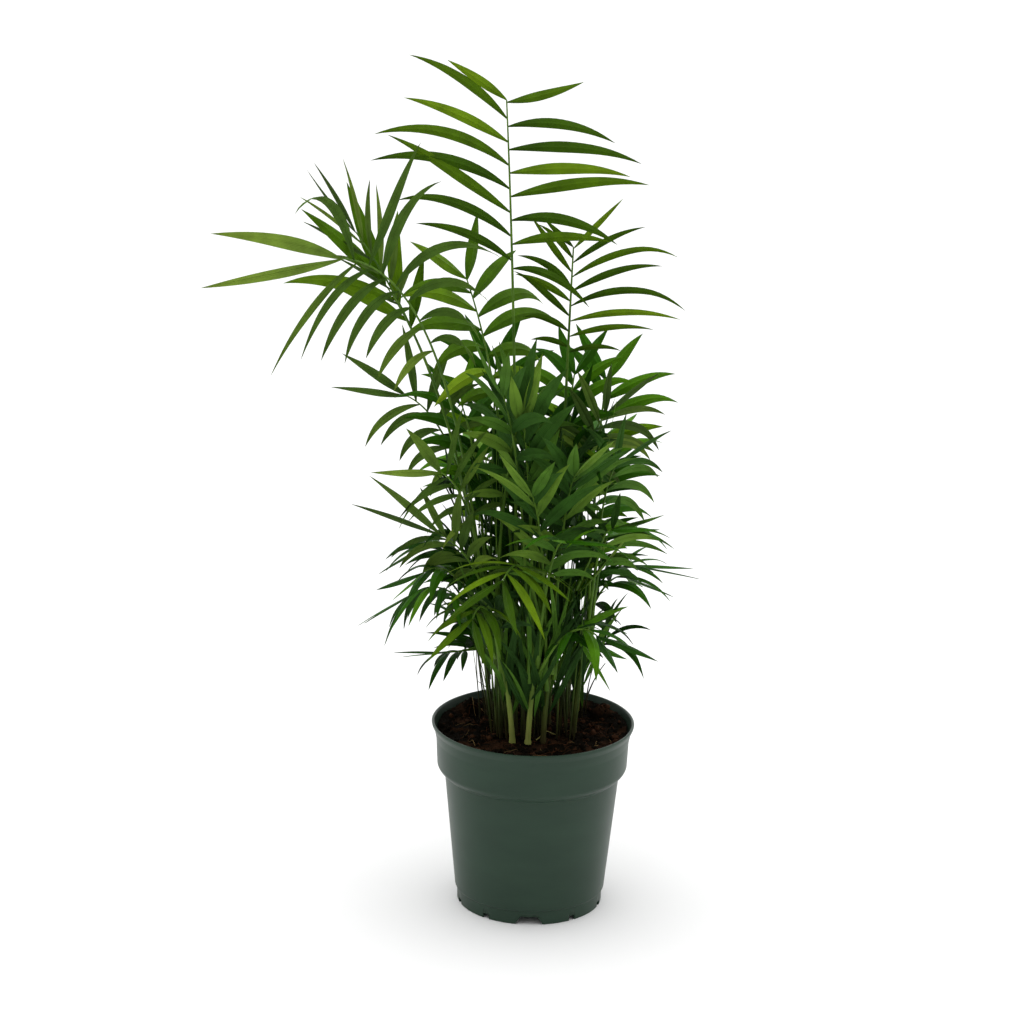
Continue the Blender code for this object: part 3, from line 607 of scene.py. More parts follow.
def placed_leaflets(frond, spine):
    """Every leaflet's place along the rib, side, angle, length, width and bend."""
    rng = random.Random(f"{frond.name} {SEED}")
    foot = ROOT_LENGTH_SHARE
    swell = 1.0 - 0.5 * (foot + frond.last)
    for pair in range(frond.pairs):
        for side in (-1.0, 1.0):
            part = (pair + SIDE_STEP * side + PAIR_START) / (frond.pairs - PAIR_END)
            part = max(0.0, min(1.0, part))
            share = foot + (frond.last - foot) * part + swell * sin(pi * part)
            angle = frond.open - frond.close * part
            bend = frond.bend
            if pair == frond.pairs - 1:
                part = LAST_SHARES[side > 0]
                angle = frond.end
                bend *= LAST_BEND
            angle += side * frond.lean
            angle += ANGLE_JITTER * rng.uniform(-1.0, 1.0)
            length = frond.leaf * MM * share * (1.0 + side * frond.skew)
            length *= 1.0 + LENGTH_JITTER * rng.uniform(-1.0, 1.0)
            full = NARROW_SHARE + (1.0 - NARROW_SHARE) * sin(pi * part)
            if pair == frond.pairs - 1:
                full = LAST_WIDTH + (1.0 - LAST_WIDTH) * frond.last
            along_stalk = spine.bare + (1.0 - spine.bare) * part
            yield along_stalk, side, angle, length, frond.width * MM * full, bend


def blade_frame(spine, share, side, roll, angle, lift):
    """The leaflet's own directions: along it, across it and its upper side."""
    rib = spine.along(share)
    turn = Matrix.Rotation(radians(roll), 3, rib)
    outward = turn @ (spine.across * side)
    level = rib.cross(spine.across)
    upper = turn @ (level if level.z >= 0.0 else -level)
    swing = radians(angle)
    raised = radians(lift)
    sideways = outward * cos(raised) + upper * sin(raised)
    along = (rib * cos(swing) + sideways * sin(swing)).normalized()
    return squared(along, rib, upper)


def settle_spines(fronds):
    """Each frond's spine, turned aside by a few degrees where its stalk would touch another."""
    rods = []
    for stem in STEMS:
        heights = [h * MM for h in range(int(stem.height) + 1)]
        rod = [(*stem_axis(stem, height), stem_radius(stem, height)) for height in heights]
        rods.append(np.array(rod))
    settled = []
    stalks = []
    for frond in fronds:
        others = [rod for k, rod in enumerate(rods) if frond.drop or k != frond.stem]
        lowers = LOWER_TRIES if frond.drop else LOWER_TRIES[:1]
        for lower, shift in itertools.product(lowers, SHIFT_TRIES):
            spine = Spine(frond, shift, lower)
            rows = spine.samples()
            if distance_clear(rows, others + stalks):
                stalks.append(rows)
                settled.append((frond, spine))
                break
    return settled


def new_object(name, data):
    """A new object in the scene."""
    obj = bpy.data.objects.new(name, data)
    bpy.context.scene.collection.objects.link(obj)
    return obj


class Shape:
    """Vertices, faces, a material number for each face and a place on the blade for each vertex."""

    def __init__(self):
        self.points = []
        self.faces = []
        self.finishes = []
        self.places = []

    def add_points(self, points, places=None):
        first = len(self.points)
        self.points.extend(tuple(point) for point in points)
        self.places.extend(places or [(0.5, 0.5)] * len(points))
        return first

    def add_face(self, corners, finish):
        self.faces.append(tuple(corners))
        self.finishes.append(finish)

    def join_rings(self, rings, finishes):
        """Closes the foot and joins each ring to the next: one finish for each face round."""
        count = len(finishes)
        for low, high in zip(rings, rings[1:]):
            for n, finish in enumerate(finishes):
                nearby = (n + 1) % count
                self.add_face((low + n, low + nearby, high + nearby, high + n), finish)
        self.add_face([rings[0] + n for n in reversed(range(count))], finishes[0])

    def turned(self, circles, steps):
        """Joins circles of points, of which the first and the last are one point each."""
        rings = [self.add_points(points) for points in circles]
        for k in range(steps):
            nearby = (k + 1) % steps
            self.add_face((rings[0], rings[1] + k, rings[1] + nearby), 0)
            self.add_face((rings[-1], rings[-2] + nearby, rings[-2] + k), 0)
            for low, high in zip(rings[1:-1], rings[2:-1]):
                self.add_face((low + k, high + k, high + nearby, low + nearby), 0)

    def made(self, name, materials, sharp=50.0):
        mesh = bpy.data.meshes.new(name)
        mesh.from_pydata(self.points, [], self.faces)
        for material in materials:
            mesh.materials.append(material)
        mesh.polygons.foreach_set("material_index", self.finishes)
        layer = mesh.uv_layers.new(name="blade")
        corners = np.empty(len(mesh.loops), np.int32)
        mesh.loops.foreach_get("vertex_index", corners)
        layer.data.foreach_set("uv", np.array(self.places, np.float32)[corners].ravel())
        mesh.shade_smooth()
        mesh.set_sharp_from_angle(angle=radians(sharp))
        return new_object(name, mesh)


def add_tube(shape, line, radii, sides, finish, flatten=1.0, across=None):
    """A closed round tube along a line of points, each with its radius."""
    side = across or (line[-1] - line[0]).cross(ANY_WAY).normalized()
    rings = []
    for k, (place, radius) in enumerate(zip(line, radii)):
        ahead = (line[min(k + 1, len(line) - 1)] - line[max(k - 1, 0)]).normalized()
        side = (side - ahead * ahead.dot(side)).normalized()
        top = ahead.cross(side) * flatten
        ring = [place + (side * x + top * y) * radius for x, y in circle(1.0, sides)]
        rings.append(shape.add_points(ring, [(0.5, k / (len(line) - 1))] * sides))
    shape.join_rings(rings, [finish] * sides)
    shape.add_face([rings[-1] + n for n in range(sides)], finish)


def blade_width(share):
    """The leaflet's half outline: a narrow foot, widest before the middle, a drawn-out point."""
    if share < BLADE_WIDEST:
        swell = sin(pi / 2.0 * share / BLADE_WIDEST) ** FOOT_POWER
        return BLADE_FOOT + (1.0 - BLADE_FOOT) * swell
    return max(0.0, 1.0 - ((share - BLADE_WIDEST) / (1.0 - BLADE_WIDEST)) ** POINT_POWER)


def add_blade(shape, root, axes, length, width, bend, rng, finish, steps=BLADE_STEPS):
    """A thin closed leaflet, folded along its midrib, pleated, drooping and a little twisted."""
    along, across, upper = axes
    flat = hypot(along.x, along.y)
    twist = radians(TWIST_SPREAD) * rng.uniform(-1.0, 1.0)
    bow = rng.uniform(-BOW_SPREAD, BOW_SPREAD)
    bend *= rng.uniform(*BENDS)
    nod = rng.choice(NODS) * min(1.0, bend)
    place = root.copy()
    rings = []
    for k in range(steps):
        share = k / steps
        ahead = (along - UP * bend * flat * (share + 0.5 / steps)).normalized()
        fall = nod * max(0.0, share - NOD_START) * flat
        ahead = (ahead + across * bow * (share - BOW_START) - UP * fall).normalized()
        ahead, side, face = squared(ahead, across, upper)
        turn = Matrix.Rotation(twist * share * share, 3, ahead)
        side, face = turn @ side, turn @ face
        half = width * blade_width(share) / 2.0
        fold = radians(FOLD_ANGLE + (BASE_FOLD - FOLD_ANGLE) * (1.0 - share) ** 4)
        top = []
        for s, lift in BLADE_SECTION:
            fall = half * (lift - abs(s) * sin(fold))
            top.append(place + side * half * s * cos(fold) + face * fall)
        under = [point - face * BLADE_THICKNESS for point in reversed(top[1:-1])]
        places = [((s + 1.0) / 2.0, share) for s, lift in BLADE_SECTION]
        rings.append(shape.add_points(top + under, places + places[-2:0:-1]))
        place = place + ahead * length / steps
    tip = shape.add_points([place], [(0.5, 1.0)])
    half_round = len(BLADE_SECTION) - 1
    finishes = [finish] * half_round + [finish + 1] * half_round
    shape.join_rings(rings, finishes)
    for n, kind in enumerate(finishes):
        shape.add_face((rings[-1] + n, rings[-1] + (n + 1) % len(finishes), tip), kind)


def new_material(name, roughness, gloss):
    """A new material, its node tree and its shader."""
    material = bpy.data.materials.new(name)
    material.use_nodes = True
    shader = material.node_tree.nodes["Principled BSDF"]
    shader.inputs["Roughness"].default_value = roughness
    shader.inputs["Specular IOR Level"].default_value = gloss
    return material, material.node_tree, shader


def feed(tree, node, inputs):
    """Joins a node's inputs to the outputs of others, or sets them to values."""
    for name, value in inputs.items():
        if isinstance(value, bpy.types.NodeSocket):
            tree.links.new(value, node.inputs[name])
        else:
            node.inputs[name].default_value = value


def mixed(tree, factor, first, second, blend="MIX"):
    """One colour blended with another: each is a plain colour or a node's output."""
    mix = tree.nodes.new("ShaderNodeMix")
    mix.data_type = "RGBA"
    mix.blend_type = blend
    sides = [(*side, 1.0) if isinstance(side, tuple) else side for side in (first, second)]
    feed(tree, mix, {"Factor": factor, "A": sides[0], "B": sides[1]})
    return mix.outputs["Result"]


def ramped(tree, value, low, high, start=0.0, end=1.0):
    """A value stretched so that low and high become start and end."""
    stretch = tree.nodes.new("ShaderNodeMapRange")
    feed(tree, stretch, {"Value": value, "From Min": low, "From Max": high})
    feed(tree, stretch, {"To Min": start, "To Max": end})
    return stretch.outputs["Result"]


def spotted(tree, scale, detail=3.0, stretch=(1.0, 1.0, 1.0)):
    """Noise in the object's own space, scale to a metre."""
    place = tree.nodes.new("ShaderNodeTexCoord")
    mapping = tree.nodes.new("ShaderNodeMapping")
    feed(tree, mapping, {"Vector": place.outputs["Object"], "Scale": stretch})
    pattern = tree.nodes.new("ShaderNodeTexNoise")
    vector = mapping.outputs["Vector"]
    feed(tree, pattern, {"Vector": vector, "Scale": scale, "Detail": detail})
    return pattern.outputs["Fac"]


def parts_of(tree, vector):
    """The outputs X, Y and Z of a vector."""
    parts = tree.nodes.new("ShaderNodeSeparateXYZ")
    tree.links.new(vector, parts.inputs["Vector"])
    return parts.outputs


def coat(tree, shader, colour, height, distance, strength=1.0):
    """Gives the shader its colour and a relief."""
    bump = tree.nodes.new("ShaderNodeBump")
    feed(tree, bump, {"Height": height, "Distance": distance, "Strength": strength})
    feed(tree, shader, {"Base Color": colour, "Normal": bump.outputs["Normal"]})


def shade(colour, share):
    return tuple(min(1.0, value * share) for value in colour)


def under(colour):
    """The paler, greyer green of a leaflet's underside."""
    grey = sum(colour) / 3.0
    return tuple(0.85 * value + 0.15 * grey + 0.006 for value in colour)


def leaf_material(name, colour, roughness):
    """Leaf green, mottled, darker at its foot, with fine veins along the blade's own u and v."""
    material, tree, shader = new_material(name, roughness, LEAF_GLOSS)
    place = tree.nodes.new("ShaderNodeUVMap")
    place.uv_map = "blade"
    veins = tree.nodes.new("ShaderNodeTexWave")
    feed(tree, veins, {"Vector": place.outputs["UV"], "Scale": VEIN_SCALE, "Distortion": 0.2})
    mottle = ramped(tree, spotted(tree, 95.0), 0.3, 0.7)
    green = mixed(tree, mottle, shade(colour, 0.92), shade(colour, 1.36))
    along = ramped(tree, parts_of(tree, place.outputs["UV"])["Y"], 0.0, 0.7)
    tone = mixed(tree, along, LEAF_FOOT_TONE, LEAF_TIP_TONE)
    toned = mixed(tree, 1.0, green, tone, "MULTIPLY")
    veined = mixed(tree, VEIN_SHARE, toned, veins.outputs["Color"], "MULTIPLY")
    coat(tree, shader, veined, veins.outputs["Fac"], 0.2 * MM, 0.7)
    return material


def leaf_pair(name, colour, roughness=LEAF_ROUGHNESS):
    """The materials of a leaflet's two sides."""
    top = leaf_material(name, colour, roughness)
    return [top, leaf_material(f"{name}_under", under(colour), UNDER_ROUGHNESS)]


def plain_material(name, colours, scale, roughness, relief=0.1 * MM, gloss=0.03):
    """Two colours mixed by noise, with that noise as relief."""
    material, tree, shader = new_material(name, roughness, gloss)
    pattern = spotted(tree, scale, 5.0)
    coat(tree, shader, mixed(tree, ramped(tree, pattern, 0.35, 0.68), *colours), pattern, relief)
    return material


def stem_material(name, foot, head, reach):
    """One pair of colours at the soil and one above, with fine lines along the stem."""
    material, tree, shader = new_material(name, 0.5, STEM_GLOSS)
    place = tree.nodes.new("ShaderNodeTexCoord").outputs["Object"]
    height = ramped(tree, parts_of(tree, place)["Z"], SOIL_Z, SOIL_Z + reach)
    grain = spotted(tree, 420.0, 4.0, (1.0, 1.0, 0.12))
    streaks = ramped(tree, grain, 0.3, 0.7)
    colour = mixed(tree, height, mixed(tree, streaks, *foot), mixed(tree, streaks, *head))
    coat(tree, shader, colour, grain, 0.15 * MM)
    return material


def pot_material():
    """Moulded plastic: dark grey green, slightly cloudy, with a fine skin."""
    material, tree, shader = new_material("pot", 0.4, 0.2)
    cloud = ramped(tree, spotted(tree, 22.0, 4.0, (1.0, 1.0, 2.5)), 0.3, 0.7)
    skin = spotted(tree, 900.0, 2.0)
    coat(tree, shader, mixed(tree, cloud, *POT_COLOURS), skin, 0.03 * MM, 0.6)
    return material


def soil_material():
    """Near-black peat with browner patches and crumbs."""
    material, tree, shader = new_material("soil", 0.95, 0.02)
    patches = ramped(tree, spotted(tree, 70.0, 6.0), 0.50, 0.70)
    grit = spotted(tree, 650.0, 5.0)
    dark = mixed(tree, ramped(tree, grit, 0.35, 0.7), *SOIL_DARK)
    coat(tree, shader, mixed(tree, patches, dark, SOIL_BROWN), grit, 0.7 * MM)
    return material


def baked(obj):
    """The object with its modifiers applied."""
    graph = bpy.context.evaluated_depsgraph_get()
    mesh = bpy.data.meshes.new_from_object(obj.evaluated_get(graph))
    obj.modifiers.clear()
    obj.data = mesh
    return obj


def step_curve():
    """The collar's foot rounds in until it meets the wall under it in a soft crease."""
    collar_z = POT_HEIGHT - COLLAR_DEPTH
    step = COLLAR_FOOT_RADIUS - WALL_HEAD_RADIUS
    fall = collar_z - CREASE_Z
    curve = []
    for k in range(STEP_POINTS + 1):
        t = k / STEP_POINTS
        curve.append((COLLAR_FOOT_RADIUS - step * t**STEP_POWER, collar_z - fall * t))
    return curve


def rounded(points, radius, steps=5):
    """The line with each of its inner corners rounded off."""
    line = [points[0]]
    for before, corner, after in zip(points, points[1:], points[2:]):
        here = Vector(corner)
        back = Vector(before) - here
        ahead = Vector(after) - here
        reach = min(radius, back.length * EDGE_SHARE, ahead.length * EDGE_SHARE)
        start = here + back.normalized() * reach
        end = here + ahead.normalized() * reach
        line += [tuple(arched(start, here, end, share)) for share in evenly(steps)]
    line.append(points[-1])
    return line


def rim_side(rows, wall=0.0):
    """Points of the rim's outline, or of its inner side when given the wall's thickness."""
    return [(RIM_RADIUS - wall - inward * MM, POT_HEIGHT - fall * MM) for inward, fall in rows]


def make_pot():
    """The turned shell, its edges rounded, with the drain notches cut out of it."""
    floor = [
        (0.0, WALL),
        (STANDING_RADIUS - WALL, WALL),
        (CHANNEL_INNER_RADIUS - WALL, CHANNEL_HEIGHT + WALL),
    ]
    inner = [
        (WALL_FOOT_RADIUS - WALL - DRAFT, CHANNEL_HEIGHT + WALL),
        *[(radius - WALL, z) for radius, z in reversed(step_curve())],
        (COLLAR_HEAD_RADIUS - WALL, POT_HEIGHT - COLLAR_HEAD_FALL),
        *rim_side(RIM_INSIDE, WALL),
    ]
    outer = [
        *rim_side(RIM_OUTSIDE),
        (COLLAR_HEAD_RADIUS, POT_HEIGHT - COLLAR_HEAD_FALL),
        *step_curve(),
        (WALL_FOOT_RADIUS, FOOT_BAND_Z),
        (FOOT_RADIUS, FOOT_BAND_Z - BAND_STEP),
        (FOOT_RADIUS - DRAFT, 0.0),
    ]
    underside = [
        (CHANNEL_OUTER_RADIUS, 0.0),
        (CHANNEL_OUTER_RADIUS - CHANNEL_DRAFT, CHANNEL_HEIGHT),
        (CHANNEL_INNER_RADIUS, CHANNEL_HEIGHT),
        (STANDING_RADIUS, 0.0),
        (0.0, 0.0),
    ]
    circles = []
    for radius, z in rounded([*floor, *inner, *outer, *underside], EDGE_RADIUS):
        circles.append([(x, y, z) for x, y in circle(radius, POT_STEPS if radius else 1)])
    shape = Shape()
    shape.turned(circles, POT_STEPS)
    pot = shape.made("pot_shell", [pot_material()], sharp=35.0)
    cutters = bpy.data.collections.new("notches")
    bpy.context.scene.collection.children.link(cutters)
    for place in range(round(360 / NOTCH_SPACING)):
        cutters.objects.link(notch(place))
    drain = pot.modifiers.new("Drain notches", "BOOLEAN")
    drain.operand_type = "COLLECTION"
    drain.collection = cutters
    drain.solver = "EXACT"
    bpy.context.view_layer.update()
    baked(pot)
    for cutter in list(cutters.objects):
        bpy.data.objects.remove(cutter)
    bpy.data.collections.remove(cutters)
    return pot


def notch(place):
    """A block tapered upwards through the foot ring: one in five is wide."""
    wide = place % WIDE_NOTCH_EVERY == 0
    foot = WIDE_NOTCH_FOOT if wide else SMALL_NOTCH_WIDTH
    head = WIDE_NOTCH_HEAD if wide else SMALL_NOTCH_WIDTH
    height = WIDE_NOTCH_HEIGHT if wide else SMALL_NOTCH_HEIGHT
    shape = bmesh.new()
    bmesh.ops.create_cube(shape, size=1.0)
    depth = NOTCH_OUTER_RADIUS - NOTCH_INNER_RADIUS
    for corner in shape.verts:
        high = corner.co.z > 0
        corner.co.x *= head if high else foot
        corner.co.y = corner.co.y * depth - (NOTCH_OUTER_RADIUS + NOTCH_INNER_RADIUS) / 2
        corner.co.z = height if high else -NOTCH_BELOW
    mesh = bpy.data.meshes.new("notch")
    shape.to_mesh(mesh)
    shape.free()
    cutter = bpy.data.objects.new(f"notch_{place}", mesh)
    cutter.rotation_euler.z = radians(place * NOTCH_SPACING)
    return cutter


def soil_height(x, y):
    """The soil's surface: slow swells, crumbs, and the heaps at the rim."""
    place = Vector((x, y, 0.0)) / MM
    height = SWELL * noise.fractal(place * SWELL_SCALE, 1.0, 2.0, 3) - SOIL_SINK
    height += CRUMB * abs(noise.fractal(place * CRUMB_SCALE + CRUMB_SHIFT, 0.8, 2.1, 4))
    height += GRAIN * (GRAIN_REACH - min(GRAIN_REACH, noise.voronoi(place * GRAIN_SCALE)[0][0]))
    edge = max(0.0, hypot(x, y) / SOIL_RADIUS - EDGE_START) / (1.0 - EDGE_START)
    height += EDGE_RISE * edge * (1.0 if y > 0.0 else FRONT_RISE_SHARE)
    for lump_x, lump_y, radius, high in SOIL_LUMPS:
        apart = hypot(x / MM - lump_x, y / MM - lump_y) / radius
        if apart < 1.0:
            rough = 1.0 + 0.5 * noise.noise(place * 0.5)
            height += high * (1.0 - apart * apart) ** LUMP_POWER * rough
    return SOIL_Z + height * MM


def on_soil(x, y, lift=0.0):
    """A point above the soil's surface."""
    return Vector((x, y, soil_height(x, y) + lift))


def make_soil():
    """The whole body of soil, fine on top."""
    low = SOIL_Z - SOIL_DEPTH
    circles = [[on_soil(0.0, 0.0)]]
    for n in range(1, SOIL_RINGS + 1):
        places = circle(SOIL_RADIUS * n / SOIL_RINGS, SOIL_STEPS)
        circles.append([on_soil(x, y) for x, y in places])
    circles.append([(x, y, low) for x, y in circle(SOIL_FOOT_SHARE * SOIL_RADIUS, SOIL_STEPS)])
    circles.append([(0.0, 0.0, low)])
    shape = Shape()
    shape.turned(circles, SOIL_STEPS)
    return shape.made("soil_top", [soil_material()], sharp=180.0)


def soil_spot(rng, margin):
    """A random place on the soil, this far or farther from its edge."""
    reach = (SOIL_RADIUS - margin * MM) * sqrt(rng.random())
    turn = rng.uniform(0.0, 2.0 * pi)
    return reach * cos(turn), reach * sin(turn)


def add_crumbs(shape, rng):
    """Loose crumbs: small rough balls, flattened."""
    ball = bmesh.new()
    bmesh.ops.create_icosphere(ball, subdivisions=1, radius=1.0)
    corners = [vertex.co.copy() for vertex in ball.verts]
    sides = [[vertex.index for vertex in face.verts] for face in ball.faces]
    ball.free()
    flatness = Vector(CRUMB_FLATNESS)
    for number in range(CRUMBS):
        x, y = soil_spot(rng, CRUMB_MARGIN)
        size = MM * (CRUMB_SIZE + CRUMB_SPREAD * rng.random() ** 4)
        middle = on_soil(x, y, CRUMB_LIFT * size)
        spin = Matrix.Rotation(rng.uniform(0.0, 6.0), 3, Vector((rng.random(), rng.random(), 1.0)))
        points = []
        for corner in corners:
            rough = 1.0 + CRUMB_ROUGH * noise.noise(corner * 1.7 + Vector((number, 0.0, 0.0)))
            points.append(middle + (spin @ (corner * flatness)) * size * rough)
        first = shape.add_points(points)
        finish = 1 if rng.random() < BROWN_CRUMBS else 0
        for side in sides:
            shape.add_face([first + k for k in side], finish)


def add_fibres(shape, rng):
    """Short fibres that lie on the soil, most of them dark."""
    for _ in range(FIBRES):
        place = Vector((*soil_spot(rng, FIBRE_MARGIN), 0.0))
        way, length, bend, arch = drawn(rng, FIBRE_RANGES)
        line = []
        for share in evenly(FIBRE_SEGMENTS):
            lift = (FIBRE_LIFT + arch * sin(pi * share)) * MM
            line.append(on_soil(place.x, place.y, lift))
            place = place + heading(way + bend * share) * length * MM / FIBRE_SEGMENTS
        if max(point.xy.length for point in line) > SOIL_RADIUS - WALL_MARGIN * MM:
            continue
        radius = MM * rng.uniform(*FIBRE_RADII)
        radii = [radius * (1.0 - abs(share - 0.5)) for share in evenly(FIBRE_SEGMENTS)]
        add_tube(shape, line, radii, 5, 2 if rng.random() < DARK_FIBRES else 3)


def add_tuft(shape, rng):
    """Reddish fibres that arch up out of one place at the back."""
    for _ in range(TUFT_FIBRES):
        x, y, way, rise, reach = drawn(rng, TUFT_RANGES)
        foot = on_soil(x * MM, y * MM, -TUFT_ROOTED)
        line = []
        for share in evenly(FIBRE_SEGMENTS):
            lift = UP * rise * sin(pi * TUFT_NOD * share)
            line.append(foot + (heading(way) * reach * share**2 + lift) * MM)
        add_tube(shape, line, tapered(line, TUFT_RADIUS * MM), 4, 5)


def add_fallen_sheath(shape):
    """One pale fallen sheath that arches over the soil in front."""
    line = []
    for share in evenly(FALLEN_SEGMENTS):
        x = (FALLEN_FOOT[0] + FALLEN_REACH[0] * share) * MM
        hook = 2.0 * max(0.0, share - FALLEN_HOOK)
        y = (FALLEN_FOOT[1] + FALLEN_REACH[1] * share - hook) * MM
        lift = FALLEN_LIFT + FALLEN_ARCH * sin(pi * min(1.0, share * 1.1))
        line.append(on_soil(x, y, lift * MM))
    add_tube(shape, line, tapered(line, FALLEN_RADIUS * MM), 6, 4)


def make_crumbs():
    """What lies loose on the soil: crumbs, fibres, a tuft of them and a fallen sheath."""
    rng = random.Random(SEED)
    shape = Shape()
    add_crumbs(shape, rng)
    add_fibres(shape, rng)
    add_tuft(shape, rng)
    add_fallen_sheath(shape)
    finishes = [
        plain_material("crumb_dark", SOIL_DARK, 500.0, 0.95, 0.3 * MM),
        plain_material("crumb_brown", CRUMB_COLOURS, 500.0, 0.95, 0.3 * MM),
        plain_material("fibre", FIBRE_COLOURS, 300.0, 0.9),
        plain_material("fibre_pale", FIBRE_PALE, 300.0, 0.9),
        plain_material("fallen_sheath", FALLEN_COLOURS, 300.0, 0.7),
        plain_material("tuft", TUFT_COLOURS, 300.0, 0.9),
    ]
    return shape.made("soil_crumbs", finishes, sharp=60.0)


def make_stems():
    """Every stem with its overlapping sheaths: each swells upwards and ends in a low step."""
    shape = Shape()
    for number, stem in enumerate(STEMS):
        start = random.Random(f"stem {number} {SEED}").uniform(0.0, INTERNODE)
        line = []
        radii = []
        for k in range(STEM_RINGS + 1):
            height = stem.height * MM * k / STEM_RINGS - (0.0 if k else STEM_ROOTED)
            step = ((height + start) % INTERNODE) / INTERNODE
            swell = 1.0 + NODE_SWELL * (step**3 - NODE_MEAN)
            line.append(stem_axis(stem, height))
            radii.append(stem_radius(stem, max(0.0, height)) * swell)
        # Stems outside PALE_STEMS get a dark foot: painted shade at the base of the clump
        add_tube(shape, line, radii, STEM_SIDES, 0 if number in PALE_STEMS else 1)
    finishes = [
        stem_material("stem", STEM_PALE, STEM_GREEN, 42.0 * MM),
        stem_material("stem_inner", STEM_PAINTED_SHADE, STEM_GREEN, 60.0 * MM),
    ]
    return shape.made("stem_canes", finishes, sharp=40.0)


def green_of(frond):
    """The number of the frond's first green among GREENS."""
    if frond.name in LIGHTER or frond.name in YOUNG and frond.name not in GREENER:
        return YOUNG_START
    if frond.name in GROWN or frond.name in GREENER:
        return GROWN_START
    # an old frond low in the clump starts at the darkest green: painted shade
    return OLD_STARTS[frond.tip_z > PAINTED_SHADE_BELOW]


def add_stalk(shape, spine, finish):
    length = (spine.bends[2] - spine.bends[0]).length
    radii = []
    for share in evenly(STALK_RINGS):
        sheath = max(0.0, 1.0 - share * length / SHEATH_LENGTH)
        radii.append(spine.radius(share) * (1.0 + SHEATH_SWELL * sheath))
    line = [spine.arch(share) for share in evenly(STALK_RINGS)]
    add_tube(shape, line, radii, STALK_SIDES, finish, STALK_FLATNESS, spine.across)


def make_fronds(settled, nodes):
    """The fronds of each age in one piece, which stands for their solids."""
    finishes = []
    for n, colour in enumerate(GREENS):
        finishes += leaf_pair(f"leaf_{n}", colour)
    finishes.append(plain_material("stalk", STALK_COLOURS, 60.0, 0.5, gloss=STEM_GLOSS))
    pieces = []
    for age, slot in (("old", "leaf"), ("grown", "leaf"), ("young", "young_leaf")):
        shape = Shape()
        names = []
        for frond, spine in settled:
            own = "young" if frond.name in YOUNG else "grown" if frond.name in GROWN else "old"
            if own != age or f"frond_{frond.name}" not in nodes:
                continue
            names.append(f"frond_{frond.name}")
            rng = random.Random(f"fine {frond.name} {SEED}")
            add_stalk(shape, spine, 2 * len(GREENS))
            for share, side, angle, length, width, bend in placed_leaflets(frond, spine):
                axes = blade_frame(spine, share, side, frond.roll, angle, LIFT)
                pick = green_of(frond) + rng.choice(GREEN_CHOICES)
                root = spine.arch(share)
                add_blade(shape, root, axes, length, width, bend, rng, 2 * pick)
        piece = shape.made(f"fronds_{age}", finishes)
        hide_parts(*names)
        pieces.append(piece)
    return pieces


def add_shoot_blades(shape, line, across, rng):
    """A shoot's leaflets, in turn to both sides, from its tip down."""
    for k in range(rng.choice(SHOOT_LEAFLETS)):
        side = -1.0 if k % 2 else 1.0
        place = SHOOT_SEGMENTS - k // 2
        ahead = (line[place] - line[place - 1]).normalized()
        opening, length, width, bend = drawn(rng, SHOOT_BLADES)
        swing = radians(opening)
        along = (ahead * cos(swing) + across * side * sin(swing)).normalized()
        axes = squared(along, ahead, ahead.cross(across))
        size = (length * MM, width * MM, bend)
        add_blade(shape, line[place], axes, *size, rng, 0, SHOOT_BLADE_STEPS)


def add_shoots(shape, rng):
    """Thin young stalks round the stems, the taller of them with leaflets."""
    for number in range(SHOOTS):
        stem = STEMS[number % len(STEMS)]
        aside, behind = drawn(rng, SHOOT_SCATTER)
        x = (stem.x * SHOOT_CLUSTER + aside) * MM
        y = (stem.y * SHOOT_CLUSTER + behind) * MM
        if y < SHOOT_FRONT:
            continue
        start = on_soil(x, y, -ROOTED)
        turn, rise = drawn(rng, SHOOT_RANGES)
        way = heading(degrees(atan2(y, x)) + turn)
        up = UP * rise * MM
        out = way * rng.uniform(SHOOT_REACH, LEFT_REACH if x < 0.0 else RIGHT_REACH) * MM
        aside, sway, girth = drawn(rng, SHOOT_SWAYS)
        middle = start + up * SHOOT_ARCH_UP + out * SHOOT_ARCH_OUT
        middle += heading(aside) * rise * MM * sway
        line = [arched(start, middle, start + up + out, share) for share in evenly(SHOOT_SEGMENTS)]
        radii = tapered(line, SHOOT_RADIUS * girth, *SHOOT_TAPER)
        add_tube(shape, line, radii, SHOOT_SIDES, 2)
        if rise * MM > LEAFLESS_RISE:
            add_shoot_blades(shape, line, UP.cross(way), rng)


def add_long_stalks(shape, rng):
    """Long bare stalks that rise through the middle of the clump."""
    for _ in range(LONG_STALKS):
        x, y, rise, way, tilt, spread, girth = drawn(rng, LONG_RANGES)
        foot = on_soil(x * MM, y * MM, -ROOTED)
        straight = UP * rise * MM + Vector((foot.x * spread, 0.0, 0.0))
        aside = heading(way) * rise * MM * tilt
        line = [foot + straight * share + aside * share**2 for share in evenly(SHOOT_SEGMENTS)]
        radii = tapered(line, SHOOT_RADIUS * girth, *LONG_TAPER)
        add_tube(shape, line, radii, SHOOT_SIDES, 5)


def add_spears(shape, rng):
    """Narrow upright blades round the stems' feet."""
    for number in range(SPEARS):
        stem = STEMS[SPEAR_STEMS[number % len(SPEAR_STEMS)]]
        height, x, y, lean, front, turn, length, width = drawn(rng, SPEAR_RANGES)
        finish = rng.choice(SPEAR_FINISHES)
        root = stem_axis(stem, height * MM) + Vector((x, y, 0.0)) * MM
        lean, front, turn = map(radians, (lean, front, turn))
        along = Vector((sin(lean), -sin(front), 1.0)).normalized()
        level = (Vector((1.0, 0.0, 0.0)) - along * along.x).normalized()
        level = Matrix.Rotation(turn, 3, along) @ level
        axes = (along, level, along.cross(level))
        size = (length * MM, width * MM, rng.uniform(*SPEAR_BENDS))
        add_blade(shape, root, axes, *size, rng, finish, SHOOT_BLADE_STEPS)


